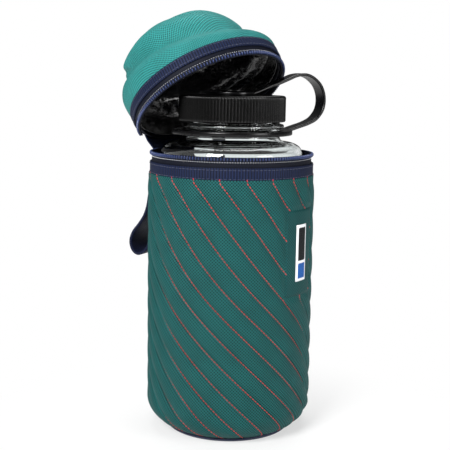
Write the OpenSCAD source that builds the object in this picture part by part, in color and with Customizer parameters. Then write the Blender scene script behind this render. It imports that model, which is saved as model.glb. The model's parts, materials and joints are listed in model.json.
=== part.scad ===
// Insulated zip-up sleeve with a padded hinged lid, holding a clear
// wide-mouth bottle. Millimetres, +Z up, origin at the centre of the base.

/* [Bottle] */
// Radius of the bottle's body
bottle_r = 44.5; // [42:0.5:54]
// Height of the bottle from its base to the top of its shoulder
body_h = 176.3; // [120:0.1:215]
// Wall thickness of the bottle
bottle_wall = 2; // [1.6:0.1:2.4]
// Radius of the bottle's bottom edge
base_corner = 10.5; // [9:0.1:13]
// Radius of the bottle's shoulder
shoulder_corner = 6.3; // [4:0.1:8]
// Outer radius of the neck
neck_r = 29.8; // [27:0.1:30.5]
// Height of the neck above the shoulder
neck_h = 26.3; // [24:0.1:32]
// How far the bead at the foot of the neck stands out
bead_out = 3; // [1:0.1:4]
// Height of the bead at the foot of the neck
bead_h = 2.6; // [1.5:0.1:3]

/* [Cap and tether] */
// Outer radius of the cap
cap_r = 33.3; // [33:0.1:38]
// Height of the cap
cap_h = 15.9; // [13:0.1:17]
// Thickness of the cap's skirt
cap_wall = 1.9; // [1.4:0.1:2]
// Thickness of the cap's roof
cap_roof = 2.1; // [1.5:0.1:3]
// Radius of the button that holds the tether's hub
button_r = 8; // [7:0.1:10]
// Radius of the tether's hub
hub_r = 14; // [12:0.1:18]
// Radial width of the tether's neck ring
ring_w = 7.9; // [6:0.1:9]
// Height of the tether's neck ring
ring_h = 3; // [2:0.1:3.4]
// Width of the tether's strap
strap_w = 10.4; // [8:0.1:14]
// Thickness of the tether's strap
strap_t = 1.8; // [1.2:0.1:2.2]
// Direction of the tether around the neck, in degrees from +X
tether_az = 29; // [20:1:40]

/* [Sleeve] */
// Thickness of the quilted shell
shell_t = 1.6; // [1:0.1:2]
// Thickness of the foam in the wall
foam_t = 4.1; // [3:0.1:6]
// Thickness of the foil liner
liner_t = 0.5; // [0.3:0.1:0.6]
// Radial room between the bottle and the liner
bottle_gap = 0.5; // [0.4:0.1:1.5]
// Thickness of the base panel
base_t = 1.3; // [1.2:0.1:2]
// Thickness of the foam under the bottle
base_foam_t = 3; // [3:0.1:6]
// Radius of the sleeve's soft bottom edge
bottom_corner = 17; // [15:0.5:20]
// How far the bottle's shoulder stands above the zip
rim_drop = 5.6; // [4:0.1:8]
// Height of the navy band on the sleeve
band_h = 11.1; // [8:0.1:14]
// Thickness of the navy bands and the tape's cover
band_t = 1.1; // [0.8:0.1:1.2]

/* [Zip] */
// Height of each zip tape
tape_h = 4.4; // [4:0.1:6]
// Height of each zip coil
coil_h = 2.1; // [1.6:0.1:2.4]
// Radial depth of each zip coil
coil_t = 1.4; // [1:0.1:1.6]
// Half the gap between the two coils
coil_gap = 0.5; // [0.4:0.05:0.8]
// Width of the slider along the zip
slider_w = 9; // [6:0.5:10]
// Thickness of the slider's plates
plate_t = 1; // [0.8:0.1:1.2]
// Length of the puller
puller_l = 13; // [9:0.5:14]
// Width of the puller
puller_w = 5; // [3:0.5:7]
// Thickness of the puller
puller_t = 1.2; // [0.8:0.1:1.6]

/* [Lid] */
// How far the lid stands open, in degrees
lid_open = 36; // [20:1:45]
// Height of the navy band on the lid
lid_band_h = 10.1; // [8:0.1:12]
// Thickness of the lid's shell
lid_shell_t = 0.9; // [0.7:0.1:1]
// Thickness of the lid's foam
lid_foam_t = 1.1; // [0.8:0.1:1.2]
// Thickness of the lid's liner
lid_liner_t = 0.4; // [0.3:0.1:0.5]
// Room between the cap's side and the lid's crown
cap_room = 4.1; // [3.9:0.1:6]
// Room between the cap's roof and the lid's crown
head_room = 15.7; // [12:0.1:20]
// How far the lid's shoulder lies below the cap's top
shoulder_below = 4.3; // [2:0.1:4.5]
// Radius of the crown's top edge
crown_corner = 15; // [10:0.5:17]

/* [Hinge panel] */
// Direction of the hinge, in degrees from +X
hinge_az = 135; // [125:1:140]
// Half the width of the hinge panel, in degrees around the sleeve
hinge_half = 24; // [18:1:26]
// Depth of the lower hinge line below the zip
hinge_low = 12.8; // [11:0.1:14]
// Height of the upper hinge line above the zip
hinge_high = 8; // [6:0.1:10]
// How far the hinge lines lie outside the sleeve
hinge_out = 3; // [2.5:0.1:4]
// Thickness of the hinge panel
panel_t = 0.8; // [0.6:0.1:1]

/* [Carrying strap and labels] */
// Direction of the carrying strap, in degrees from +X
handle_az = 154; // [150:1:160]
// Width of the webbing
web_w = 22; // [16:1:26]
// Thickness of the webbing
web_t = 1.8; // [1.2:0.1:2]
// Depth of the strap's top end below the zip
handle_drop = 16.5; // [16.5:0.5:30]
// Half the width of the navy back panel, in degrees
spine_half = 20.5; // [18:0.5:24]
// Thickness of the back panel and the labels
trim_t = 0.5; // [0.3:0.1:0.6]
// Direction of the label patch, in degrees from +X
label_az = -33.5; // [-60:0.5:0]
// Width of the woven label
label_w = 11; // [8:0.5:20]
// Height of the woven label
label_h = 34.6; // [20:0.1:50]
// Height of the label's middle above the base
label_z = 116.8; // [90:0.1:125]
// Margin of the plain patch around the woven label
patch_margin = 9; // [4:0.5:14]

/* [Hidden] */
$fn = 96;

ply = 0.1;      // clearance between layers sewn together
seat = 0.3;     // clearance between a piece and what it rests on

// Radii of the sleeve's layers, from the bottle outwards
liner_in = bottle_r + bottle_gap;
foam_in = liner_in + liner_t + ply;
foam_out = foam_in + foam_t;
shell_in = foam_out + ply;
shell_out = shell_in + shell_t;
corner_x = shell_out - bottom_corner;

// Heights of the base's layers and of the bottle
base_foam_z = base_t + ply;
liner_z = base_foam_z + base_foam_t + ply;
bottle_z = liner_z + liner_t + seat;
body_top = bottle_z + body_h;
neck_top = body_top + neck_h;
cap_top = neck_top + seat + cap_roof;
cap_low = cap_top - cap_h;
shell_z = base_t + seat;
zip_z = body_top - rim_drop;
tape_z = zip_z - coil_gap - tape_h;
band_z = zip_z - coil_gap - coil_h - 1.5 - band_h;

// Zip tape and coil
tape_out = foam_out;
tape_in = tape_out - 0.7;
coil_in = tape_out + ply;
coil_out = coil_in + coil_t;
channel_in = tape_in - seat;
channel_out = coil_out + 0.4;
plate_out = channel_out + plate_t;
eye_x = plate_out + 1.3;
pin_r = 0.5;
slider_half = coil_gap + coil_h + 0.8;
stop_at = hinge_half + 3;
park_at = stop_at + 2 + asin(slider_w / 2 / coil_in);
lid_coil_at = park_at + 7;

// Lid, drawn closed
drum_r = shell_out - 0.4;
lid_plies = lid_shell_t + lid_foam_t + lid_liner_t + 2 * ply;
crown_r = cap_r + cap_room + lid_plies;
crown_top = cap_top + head_room + lid_plies;
lid_shoulder_z = cap_top - shoulder_below;
shoulder_r = drum_r - crown_r;
lid_tape_z = zip_z + coil_gap;
lid_foam_z = lid_tape_z + tape_h + ply;
lid_band_z = lid_tape_z + coil_h + 1.5;
lid_shell_z = lid_band_z + lid_band_h + ply;

// Hinge
pivot_r = shell_out + hinge_out;
pivot_z = zip_z - hinge_low;
panel_in = drum_r + seat;

// Tether
ring_in = neck_r + 0.6;
ring_out = max(neck_r + ring_w, ring_in + 4);
ring_z = cap_low - 5.2 - ring_h;
hub_z = cap_top + seat;
hub_t = 1.8;
arm_end = cap_r - 7.3;
arm_top = hub_z + 5.4;

// The strap's middle line as [out from the axis, height]
strap_path = [[arm_end + 0.4, arm_top + 0.3], [cap_r - 1.8, cap_top + 7.6], [cap_r + 4.6, cap_top + 10],
              [cap_r + 11.6, cap_top + 12.6], [cap_r + 18.6, cap_top + 13.2], [cap_r + 24.8,
              cap_top + 10.8],
              [cap_r + 30, cap_top + 6], [cap_r + 32.6, cap_top - 1], [cap_r + 31.8, cap_top - 8.6],
              [cap_r + 27.2, cap_low + 1.2], [cap_r + 20.8, cap_low - 2], [cap_r + 12.6, cap_low - 4.4],
              [ring_out + 0.2, ring_z + ring_h / 2]];

// The carrying strap's middle line as [out from the axis, height]
handle_top = zip_z - handle_drop;
web_x = shell_out + trim_t + 0.5 + web_t / 2;
handle_path = [[web_x, handle_top], [web_x, handle_top - 10], [web_x + 0.9, handle_top - 17],
               [web_x + 2, handle_top - 22.5], [web_x + 4.4, handle_top - 28.5], [web_x + 8.2,
               handle_top - 34],
               [web_x + 12.6, handle_top - 39.5], [web_x + 14.6, handle_top - 45.5],
               [web_x + 13.2, handle_top - 51], [web_x + 9.4, handle_top - 53.6],
               [web_x + 4.8, handle_top - 52], [web_x + 1.2, handle_top - 47.5],
               [web_x, handle_top - 42], [web_x, handle_top - 32]];

// ---------- shapes ----------

// Half outline of an upright can with a rounded bottom edge
module round_bottom(r, corner, low, high) {
    translate([0, low + corner]) square([r, high - low - corner]);
    translate([0, low]) square([r - corner, corner]);
    intersection() {
        translate([r - corner, low + corner]) circle(corner);
        translate([0, low]) square([r, corner]);
    }
}

// Half outline of an upright can with a rounded top edge
module round_top(r, corner, low, high) {
    square_h = high - corner - low;
    translate([0, low]) square([r, square_h]);
    translate([0, high - corner]) square([r - corner, corner]);
    intersection() {
        translate([r - corner, high - corner]) circle(corner);
        translate([0, high - corner]) square([r, corner]);
    }
}

// Half outline of the lid, moved inwards by inset
module lid_outline(inset, low) {
    round_top(drum_r - inset, shoulder_r, low, lid_shoulder_z - inset);
    round_top(crown_r - inset, crown_corner - inset, low, crown_top - inset);
}

// One ply of the lid between two insets
module lid_ply(from, to, low) {
    rotate_extrude() difference() {
        lid_outline(from, low);
        lid_outline(to, low - 1);
    }
}

// Upright ring wall
module ring(r_in, r_out, low, h) {
    translate([0, 0, low]) difference() {
        cylinder(r = r_out, h = h);
        translate([0, 0, -1]) cylinder(r = r_in, h = h + 2);
    }
}

// Part of an upright ring wall, from one direction round to another
module arc_wall(r_in, r_out, low, h, from, to) {
    rotate([0, 0, from]) rotate_extrude(angle = to - from)
        translate([r_in, low]) square([r_out - r_in, h]);
}

// Zip piece that runs round the rim and stops short of the hinge
module zip_run(r_in, r_out, low, h, skip) {
    arc_wall(r_in, r_out, low, h, hinge_az + skip, hinge_az + 360 - skip);
}

// Strip of even thickness along a path, standing in the plane of direction az
function unit(v) = v / norm(v);
function side(p, i) = let (a = p[max(i - 1, 0)], b = p[min(i + 1, len(p) - 1)],
    d = unit(b - a)) [-d[1], d[0]];
module strip(path, t, w, az) {
    left = [for (i = [0:len(path) - 1]) path[i] + side(path, i) * t / 2];
    right = [for (i = [len(path) - 1:-1:0]) path[i] - side(path, i) * t / 2];
    rotate([0, 0, az]) rotate([90, 0, 0])
        linear_extrude(height = w, center = true) polygon(concat(left, right));
}

// Turns what is drawn closed to where the open lid stands
module opened() {
    out = [cos(hinge_az), sin(hinge_az), 0];
    pivot = out * pivot_r + [0, 0, pivot_z];
    translate(pivot) rotate(a = lid_open, v = [-sin(hinge_az), cos(hinge_az),
        0]) translate(-pivot) children();
}

// ---------- sleeve ----------

module outer_shell() {
    color("#1f6a66") rotate_extrude() difference() {
        round_bottom(shell_out, bottom_corner, shell_z, band_z - ply);
        round_bottom(shell_in, bottom_corner - shell_t, shell_z + shell_t, band_z);
        square([corner_x, shell_z + shell_t + 1]);
    }
}

module sleeve_foam() {
    color("#8d8f90") rotate_extrude() difference() {
        round_bottom(foam_out, bottom_corner - shell_t - ply, shell_z + shell_t + ply, tape_z - ply);
        round_bottom(foam_in, foam_in - corner_x, liner_z - ply, tape_z);
        square([corner_x, liner_z]);
    }
}

module foil_liner() {
    color("#2b2c2e") rotate_extrude() difference() {
        round_bottom(liner_in + liner_t, liner_in + liner_t - corner_x, liner_z, tape_z - ply);
        round_bottom(liner_in, liner_in - corner_x, liner_z + liner_t, tape_z);
    }
}

module base_panel() {
    color("#17191c") cylinder(r = corner_x + 3.2, h = base_t);
}

module base_foam() {
    color("#8d8f90") translate([0, 0, base_foam_z]) cylinder(r = corner_x - ply, h = base_foam_t);
}

module base_piping() {
    color("#101113") rotate_extrude() translate([corner_x + 4.2, 0.95]) circle(r = 0.9);
}

module top_band() {
    color("#252f4f") ring(shell_in, shell_in + band_t, band_z, band_h);
}

module rim_binding() {
    color("#1a2036") ring(liner_in, tape_in - ply, tape_z, 1.2);
}

module lower_zip_tape() {
    color("#1c2338") ring(tape_in, tape_out, tape_z, tape_h);
}

module lower_zip_coil() {
    color("#141a2c") zip_run(coil_in, coil_out, zip_z - coil_gap - coil_h, coil_h, stop_at + 1.6);
}

module zip_end_stops() {
    color("#202638") for (s = [-1, 1])
        arc_wall(coil_in, coil_out, zip_z - coil_gap - coil_h, coil_h,
                 hinge_az + s * stop_at - 1.3, hinge_az + s * stop_at + 1.3);
}

module back_panel() {
    color("#252f4f") arc_wall(shell_out + ply, shell_out + ply + trim_t, shell_z + bottom_corner,
                              band_z - shell_z - bottom_corner - ply, handle_az - spine_half,
                                  handle_az + spine_half);
}

module handle_strap() {
    color("#252f4f") strip(handle_path, web_t, web_w, handle_az);
}

module handle_tacks() {
    color("#252f4f") rotate([0, 0, handle_az])
        for (z = [handle_top - 5, handle_top - 37.4])
            translate([web_x + web_t / 2 + ply, -web_w * 0.41, z - 4]) cube([0.5, web_w * 0.82, 8]);
}

module label_patch() {
    half = (label_w / 2 + patch_margin) / shell_out * 180 / PI;
    color("#256f6b") arc_wall(shell_out + ply, shell_out + ply + trim_t,
        label_z - label_h / 2 - patch_margin,
                              label_h + 2 * patch_margin, label_az - half, label_az + half);
}

module woven_label() {
    low_r = shell_out + trim_t + 2 * ply;
    half = label_w / 2 / low_r * 180 / PI;
    color("#1d4f9c") arc_wall(low_r, low_r + trim_t, label_z - label_h / 2, label_h,
        label_az - half, label_az + half);
}

// ---------- hinge and lid ----------

module hinge_panel() {
    color("#252f4f") opened()
        arc_wall(panel_in, panel_in + panel_t, pivot_z - 1, hinge_low + hinge_high + 1,
                 hinge_az - hinge_half, hinge_az + hinge_half);
}

module lid_shell() {
    color("#2f8f86") opened() lid_ply(0, lid_shell_t, lid_shell_z);
}

module lid_foam() {
    color("#8d8f90") opened()
        lid_ply(lid_shell_t + ply, lid_shell_t + ply + lid_foam_t, lid_foam_z);
}

module lid_liner() {
    color("#2b2c2e") opened() lid_ply(lid_plies - lid_liner_t, lid_plies, lid_foam_z);
}

module lid_band() {
    color("#252f4f") opened()
        ring(drum_r - lid_shell_t, drum_r - ply, lid_band_z, lid_band_h);
}

module lid_binding() {
    color("#1a2036") opened() ring(tape_in - ply - 1.2, tape_in - ply, lid_foam_z - 1.3, 1.2);
}

module upper_zip_tape() {
    color("#1c2338") opened() zip_run(tape_in, tape_out, lid_tape_z, tape_h, lid_coil_at - 1);
}

module upper_zip_coil() {
    color("#141a2c") opened() zip_run(coil_in, coil_out, lid_tape_z, coil_h, lid_coil_at);
}

// ---------- zip slider ----------

module at_slider() {
    rotate([0, 0, hinge_az - park_at]) children();
}

module slider_body() {
    half = asin(slider_w / 2 / coil_in);
    color("#1a2036") at_slider() {
        arc_wall(channel_in - plate_t, channel_in, zip_z - slider_half, 2 * slider_half, -half, half);
        arc_wall(channel_out, plate_out, zip_z - slider_half, 2 * slider_half, -half, half);
        arc_wall(channel_in - 0.2, channel_out + 0.2, zip_z - coil_gap + ply, 2 * (coil_gap - ply),
            -half, -half + 4);
        for (s = [-1, 1]) translate([plate_out - 0.4, s * (puller_w / 2 + 0.9) - 0.5, zip_z - 1])
            cube([eye_x - plate_out + 1, 1, 2]);
        translate([eye_x, 0, zip_z]) rotate([90, 0, 0])
            cylinder(r = pin_r, h = puller_w + 2, center = true);
    }
}

module zip_puller() {
    color("#1a2036") at_slider() difference() {
        translate([eye_x - puller_t / 2, -puller_w / 2, zip_z - puller_l])
            cube([puller_t, puller_w, puller_l + pin_r + 0.45]);
        translate([eye_x, 0, zip_z]) rotate([90, 0, 0])
            cylinder(r = pin_r + 0.05, h = puller_w + 2, center = true);
    }
}

// ---------- bottle ----------

module bottle_outline(inset) {
    round_bottom(bottle_r - inset, base_corner - inset, bottle_z + inset, body_top - shoulder_corner);
    round_top(bottle_r - inset, shoulder_corner - inset, body_top - shoulder_corner - 10, body_top - inset);
    square_top = inset == 0 ? neck_top : neck_top + 1;
    translate([0, body_top - 10]) square([neck_r - inset, square_top - body_top + 10]);
}

module bottle() {
    color("#dfe9ea") rotate_extrude() {
        difference() {
            bottle_outline(0);
            bottle_outline(bottle_wall);
        }
        translate([neck_r - 0.5, body_top - 0.5]) square([bead_out + 0.5, bead_h + 0.5]);
    }
}

module tether_ring() {
    color("#0d0e10") ring(ring_in, ring_out, ring_z, ring_h);
}

module tether_strap() {
    color("#0d0e10") strip(strap_path, strap_t, strap_w, tether_az);
}

module tether_hub() {
    hub_in = button_r - 2;
    color("#0d0e10") {
        ring(hub_in + seat, hub_r, hub_z, hub_t);
        strip([[hub_r - 1.5, hub_z + hub_t / 2], [hub_r + 2, hub_z + hub_t], [arm_end, arm_top]],
              hub_t, strap_w, tether_az);
    }
}

module cap() {
    stem_r = button_r - 2;
    color("#131416") {
        difference() {
            translate([0, 0, cap_low]) cylinder(r = cap_r, h = cap_h);
            translate([0, 0, cap_low - 1]) cylinder(r = cap_r - cap_wall, h = cap_h - cap_roof + 1);
        }
        translate([0, 0, cap_top - 0.5]) cylinder(r = stem_r, h = hub_t + 2 * seat + 1);
        translate([0, 0, hub_z + hub_t + seat]) cylinder(r = button_r, h = 1);
    }
}

outer_shell();
sleeve_foam();
foil_liner();
base_panel();
base_foam();
base_piping();
top_band();
rim_binding();
lower_zip_tape();
lower_zip_coil();
zip_end_stops();
back_panel();
handle_strap();
handle_tacks();
label_patch();
woven_label();
hinge_panel();
lid_shell();
lid_foam();
lid_liner();
lid_band();
lid_binding();
upper_zip_tape();
upper_zip_coil();
slider_body();
zip_puller();
bottle();
tether_ring();
tether_strap();
tether_hub();
cap();
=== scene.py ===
"""Looks of an insulated zip-up bottle sleeve and the clear bottle that stands in it."""

import json
import logging
import math
from dataclasses import dataclass, field
from enum import Enum
from typing import Callable, Sequence

import bpy
import numpy as np
from mathutils import Matrix, Vector


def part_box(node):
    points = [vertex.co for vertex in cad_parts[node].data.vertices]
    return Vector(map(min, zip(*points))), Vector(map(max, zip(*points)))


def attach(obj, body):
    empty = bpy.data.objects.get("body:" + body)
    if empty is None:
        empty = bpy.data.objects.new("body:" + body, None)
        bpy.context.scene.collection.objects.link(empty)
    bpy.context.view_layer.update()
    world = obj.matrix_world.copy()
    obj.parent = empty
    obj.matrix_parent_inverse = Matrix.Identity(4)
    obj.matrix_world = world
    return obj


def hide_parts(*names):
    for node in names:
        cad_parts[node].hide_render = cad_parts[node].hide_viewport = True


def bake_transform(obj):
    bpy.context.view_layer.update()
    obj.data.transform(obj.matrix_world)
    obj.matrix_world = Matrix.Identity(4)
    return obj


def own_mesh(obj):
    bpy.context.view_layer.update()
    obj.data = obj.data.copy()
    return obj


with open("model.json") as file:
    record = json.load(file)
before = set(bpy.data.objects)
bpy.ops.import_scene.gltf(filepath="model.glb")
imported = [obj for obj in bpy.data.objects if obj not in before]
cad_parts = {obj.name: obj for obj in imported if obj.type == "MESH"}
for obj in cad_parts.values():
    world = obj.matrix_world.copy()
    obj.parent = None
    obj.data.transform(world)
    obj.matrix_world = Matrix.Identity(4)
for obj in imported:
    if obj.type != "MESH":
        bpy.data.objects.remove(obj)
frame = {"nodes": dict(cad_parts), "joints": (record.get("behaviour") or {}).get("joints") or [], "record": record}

MM = 0.001
UP = np.array([0, 0, 1.0])
TAU = 2 * math.pi
LOG = logging.getLogger("sleeve")
Array = np.ndarray


class Place(Enum):
    """Where a round piece is drawn: as it stands, or closed and then swung open with the lid."""

    UPRIGHT = "upright"
    ON_LID = "on the lid"


# ---------------------------------------------------------------- numbers


def linear(hex_colour: str) -> tuple[float, float, float, float]:
    """Turns an sRGB hex colour to linear light.

    Args:
        hex_colour: Six hex digits, with or without a leading hash.

    Returns:
        Red, green, blue and alpha, each from 0 to 1.
    """
    digits = hex_colour.lstrip("#")
    channels = [int(digits[i : i + 2], 16) / 255 for i in (0, 2, 4)]
    light = [c / 12.92 if c <= 0.04045 else ((c + 0.055) / 1.055) ** 2.4 for c in channels]
    return (light[0], light[1], light[2], 1.0)


def smooth(low: float, high: float, x: Array) -> Array:
    """Rises smoothly from 0 at low to 1 at high."""
    t = np.clip((np.asarray(x, float) - low) / (high - low), 0, 1)
    return t * t * (3 - 2 * t)


def bell(x: Array, centre: float, width: float) -> Array:
    """A bump of height 1 at centre that fades over width."""
    return np.exp(-(((np.asarray(x, float) - centre) / width) ** 2))


def turn_gap(a: Array, b: float) -> Array:
    """The signed angle from b to a, in radians, from minus half a turn to half a turn."""
    return (np.asarray(a, float) - b + math.pi) % TAU - math.pi


def polar(radius: Array | float, angle: Array, height: Array | float) -> Array:
    """Points at a radius, angle and height, with x, y and z along the last axis."""
    return np.stack(np.broadcast_arrays(radius * np.cos(angle), radius * np.sin(angle), height), -1)


def unit(rows: Array) -> Array:
    """Scales each row to length 1."""
    return rows / np.linalg.norm(rows, axis=1)[:, None]


def run_along(line: Array) -> Array:
    """Length along a line up to each of its points."""
    return np.concatenate([[0], np.cumsum(np.linalg.norm(np.diff(line, axis=0), axis=1))])


def through(points: Sequence[Sequence[float]], count: int) -> Array:
    """Runs a smooth line through a few points.

    Args:
        points: The points that it passes.
        count: How many points it gets, evenly spaced along it.

    Returns:
        An array with one row for each point.
    """
    p = np.asarray(points, float)
    p = np.vstack([2 * p[0] - p[1], p, 2 * p[-1] - p[-2]])
    fine = []
    for i in range(1, len(p) - 2):
        for t in np.linspace(0, 1, 24, endpoint=False):
            a, b, c, d = p[i - 1], p[i], p[i + 1], p[i + 2]
            square = (2 * a - 5 * b + 4 * c - d) * t**2
            cube = (3 * b - a - 3 * c + d) * t**3
            fine.append(0.5 * (2 * b + (c - a) * t + square + cube))
    fine.append(p[-2])
    fine = np.array(fine)
    run = run_along(fine)
    at = np.linspace(0, run[-1], count)
    return np.column_stack([np.interp(at, run, fine[:, k]) for k in range(fine.shape[1])])


def soft_noise(seed: int, waves: int = 9) -> Callable[[Array, Array], Array]:
    """Makes a smooth random height over a turn and a length.

    Args:
        seed: Fixes the waves.
        waves: How many waves are added up.

    Returns:
        A function of an angle in radians and a length in metres, between about -1 and 1.
    """
    rng = np.random.default_rng(seed)
    around = rng.integers(1, 9, waves)
    along = rng.uniform(-0.11, 0.11, waves) / MM
    phase = rng.uniform(0, TAU, waves)
    size = rng.uniform(0.4, 1.0, waves)

    def height(angle: Array, length: Array) -> Array:
        """Adds up the waves at one place."""
        total = sum(s * np.sin(a * angle + b * length + p) for s, a, b, p in zip(size, around, along, phase))
        return total / size.sum()

    return height


# ---------------------------------------------------------------- the frame's sizes


def node_points(node: str) -> Array:
    """Reads a node's vertices as they stand at rest, one row each."""
    return np.array([v.co for v in frame["nodes"][node].data.vertices], float)


@dataclass(frozen=True)
class Hinge:
    """The lid's lower and upper hinge lines, as the joints state them at rest."""

    low: Vector
    high: Vector
    axis: Vector
    opening: float

    @classmethod
    def read(cls) -> "Hinge":
        """Reads both hinge lines from the record's joints."""
        joints = {j["name"]: j for j in frame["joints"]}
        close, fold = joints["lid_close"], joints["lid_fold_back"]
        return cls(
            Vector(close["pos_m"]),
            Vector(fold["pos_m"]),
            Vector(close["axis"]).normalized(),
            -math.radians(close["range_deg"][0]),
        )

    @property
    def azimuth(self) -> float:
        """Direction of the hinge around the sleeve, in radians from +X."""
        return math.atan2(self.low.y, self.low.x)

    def opened(self) -> Matrix:
        """The move from the closed lid to where it stands open."""
        swing = Matrix.Rotation(self.opening, 4, self.axis)
        return Matrix.Translation(self.low) @ swing @ Matrix.Translation(-self.low)

    def closed(self, points: Array) -> Array:
        """Moves points of the open lid to where they lie when it is closed."""
        back = np.array(self.opened().inverted())
        return points @ back[:3, :3].T + back[:3, 3]


@dataclass(frozen=True)
class Sizes:
    """Radii and heights read from the frame, with the lid's taken as it is when closed."""

    hinge: Hinge = field(default_factory=Hinge.read)

    def points(self, node: str, place: Place = Place.UPRIGHT) -> Array:
        """Reads a node's vertices, with the lid's taken as it is when closed."""
        points = node_points(node)
        return self.hinge.closed(points) if place is Place.ON_LID else points

    def hinge_gap(self, node: str, place: Place) -> float:
        """Half of the turn that a node leaves free at the hinge, in radians."""
        points = self.points(node, place)
        off = turn_gap(np.arctan2(points[:, 1], points[:, 0]), self.hinge.azimuth)
        return float(np.abs(off).min())

    def ring(self, node: str, place: Place = Place.UPRIGHT) -> tuple[float, float, float, float]:
        """Reads a round node's radii and heights.

        Args:
            node: Name of the node.
            place: Whether it is part of the lid.

        Returns:
            Inner radius, outer radius, low height and high height, in metres.
        """
        points = self.points(node, place)
        radius = np.hypot(points[:, 0], points[:, 1])
        return radius.min(), radius.max(), points[:, 2].min(), points[:, 2].max()


# ---------------------------------------------------------------- meshes


def new_piece(
    name: str, verts: Array, faces: Sequence[Sequence[int]], uv: Array | None = None
) -> bpy.types.Object:
    """Makes a smooth-shaded mesh object at the origin.

    Args:
        name: Its name.
        verts: One row for each vertex, in metres.
        faces: Vertex numbers of each face.
        uv: One row for each vertex, in millimetres of cloth, or None.

    Returns:
        The new object.
    """
    mesh = bpy.data.meshes.new(name)
    mesh.from_pydata([tuple(v) for v in verts], [], [tuple(f) for f in faces])
    if uv is not None:
        layer = mesh.uv_layers.new(name="cloth_mm")
        corner = np.zeros(len(mesh.loops), np.int32)
        mesh.loops.foreach_get("vertex_index", corner)
        layer.data.foreach_set("uv", np.asarray(uv, np.float32)[corner].ravel())
    mesh.polygons.foreach_set("use_smooth", [True] * len(mesh.polygons))
    mesh.update()
    piece = bpy.data.objects.new(name, mesh)
    bpy.context.scene.collection.objects.link(piece)
    return piece


def unwrap_seam(piece: bpy.types.Object, turn_mm: float) -> None:
    """Carries the cloth's pattern over the seam of a piece that closes on itself.

    Args:
        piece: The piece.
        turn_mm: The pattern's length once round, in millimetres.
    """
    layer = piece.data.uv_layers["cloth_mm"].data
    for face in piece.data.polygons:
        across = [layer[i].uv.x for i in face.loop_indices]
        if max(across) - min(across) > turn_mm / 2:
            for i in face.loop_indices:
                if layer[i].uv.x < turn_mm / 2:
                    layer[i].uv.x += turn_mm


def grid_faces(rows: int, cols: int, around: bool = False, turned: bool = False) -> list[tuple[int, ...]]:
    """Joins the points of a grid with four-cornered faces.

    Args:
        rows: How many rows of points it has.
        cols: How many points are in a row.
        around: Whether the last column joins the first.
        turned: Whether the faces point the other way.

    Returns:
        Vertex numbers of each face, row by row.
    """
    faces = []
    for i in range(rows - 1):
        for j in range(cols if around else cols - 1):
            k = (j + 1) % cols
            a, b, c, d = i * cols + j, i * cols + k, (i + 1) * cols + k, (i + 1) * cols + j
            faces.append((a, d, c, b) if turned else (a, b, c, d))
    return faces


def sheet_of(name: str, points: Array, uv: Array, around: bool = False) -> bpy.types.Object:
    """Makes a sheet from a grid of points.

    Args:
        name: Its name.
        points: Rows by columns by 3, in metres.
        uv: Rows by columns by 2, in millimetres.
        around: Whether the last column joins the first.

    Returns:
        The new object.
    """
    rows, cols = points.shape[:2]
    faces = grid_faces(rows, cols, around)
    piece = new_piece(name, points.reshape(-1, 3), faces, uv.reshape(-1, 2))
    if around:
        unwrap_seam(piece, float(uv[..., 0].max()) * cols / (cols - 1))
    return piece


def move_mesh(piece: bpy.types.Object, move: Matrix) -> bpy.types.Object:
    """Moves a piece's mesh and leaves its object at the origin."""
    piece.data.transform(move)
    piece.data.update()
    return piece


def baked(piece: bpy.types.Object) -> bpy.types.Object:
    """Turns a piece and its modifiers to a plain mesh under the same name."""
    shape = bpy.data.meshes.new_from_object(piece.evaluated_get(bpy.context.evaluated_depsgraph_get()))
    piece.modifiers.clear()
    if piece.type == "MESH":
        piece.data = shape
        return piece
    name = piece.name
    bpy.data.objects.remove(piece)
    plain = bpy.data.objects.new(name, shape)
    bpy.context.scene.collection.objects.link(plain)
    return plain


def thicken(piece: bpy.types.Object, wall: float, outward: float = -1.0) -> bpy.types.Object:
    """Gives a sheet its thickness.

    Args:
        piece: The sheet.
        wall: Its thickness in metres.
        outward: -1 to grow inwards from the faces, 1 to grow outwards.

    Returns:
        The same object.
    """
    solid = piece.modifiers.new("wall", "SOLIDIFY")
    solid.thickness = wall
    solid.offset = outward
    solid.use_even_offset = False
    return baked(piece)


def lathe(
    name: str, outline: Array, sides: int, ripple: Callable[[Array, Array], Array] | None = None
) -> bpy.types.Object:
    """Turns an outline about +Z.

    Args:
        name: The piece's name.
        outline: Rows of radius and height in metres, anticlockwise so that the faces point out.
        sides: How many columns it gets.
        ripple: Radius added at an angle and row number, or None.

    Returns:
        The new object, with its poles closed.
    """
    angle = np.linspace(0, TAU, sides, endpoint=False)
    run = run_along(outline)
    around, row = np.meshgrid(angle, np.arange(len(outline)))
    radius = outline[row, 0]
    if ripple is not None:
        radius = radius + ripple(around, row)
    points = polar(radius, around, outline[row, 1])
    widest = outline[:, 0].max()
    uv = np.stack([around * widest / MM, run[row] / MM], -1)
    piece = sheet_of(name, points, uv, around=True)
    close_poles(piece)
    return piece


def close_poles(piece: bpy.types.Object) -> None:
    """Merges the points that meet at a pole."""
    weld = piece.modifiers.new("weld", "WELD")
    weld.merge_threshold = 1e-6
    baked(piece)


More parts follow.
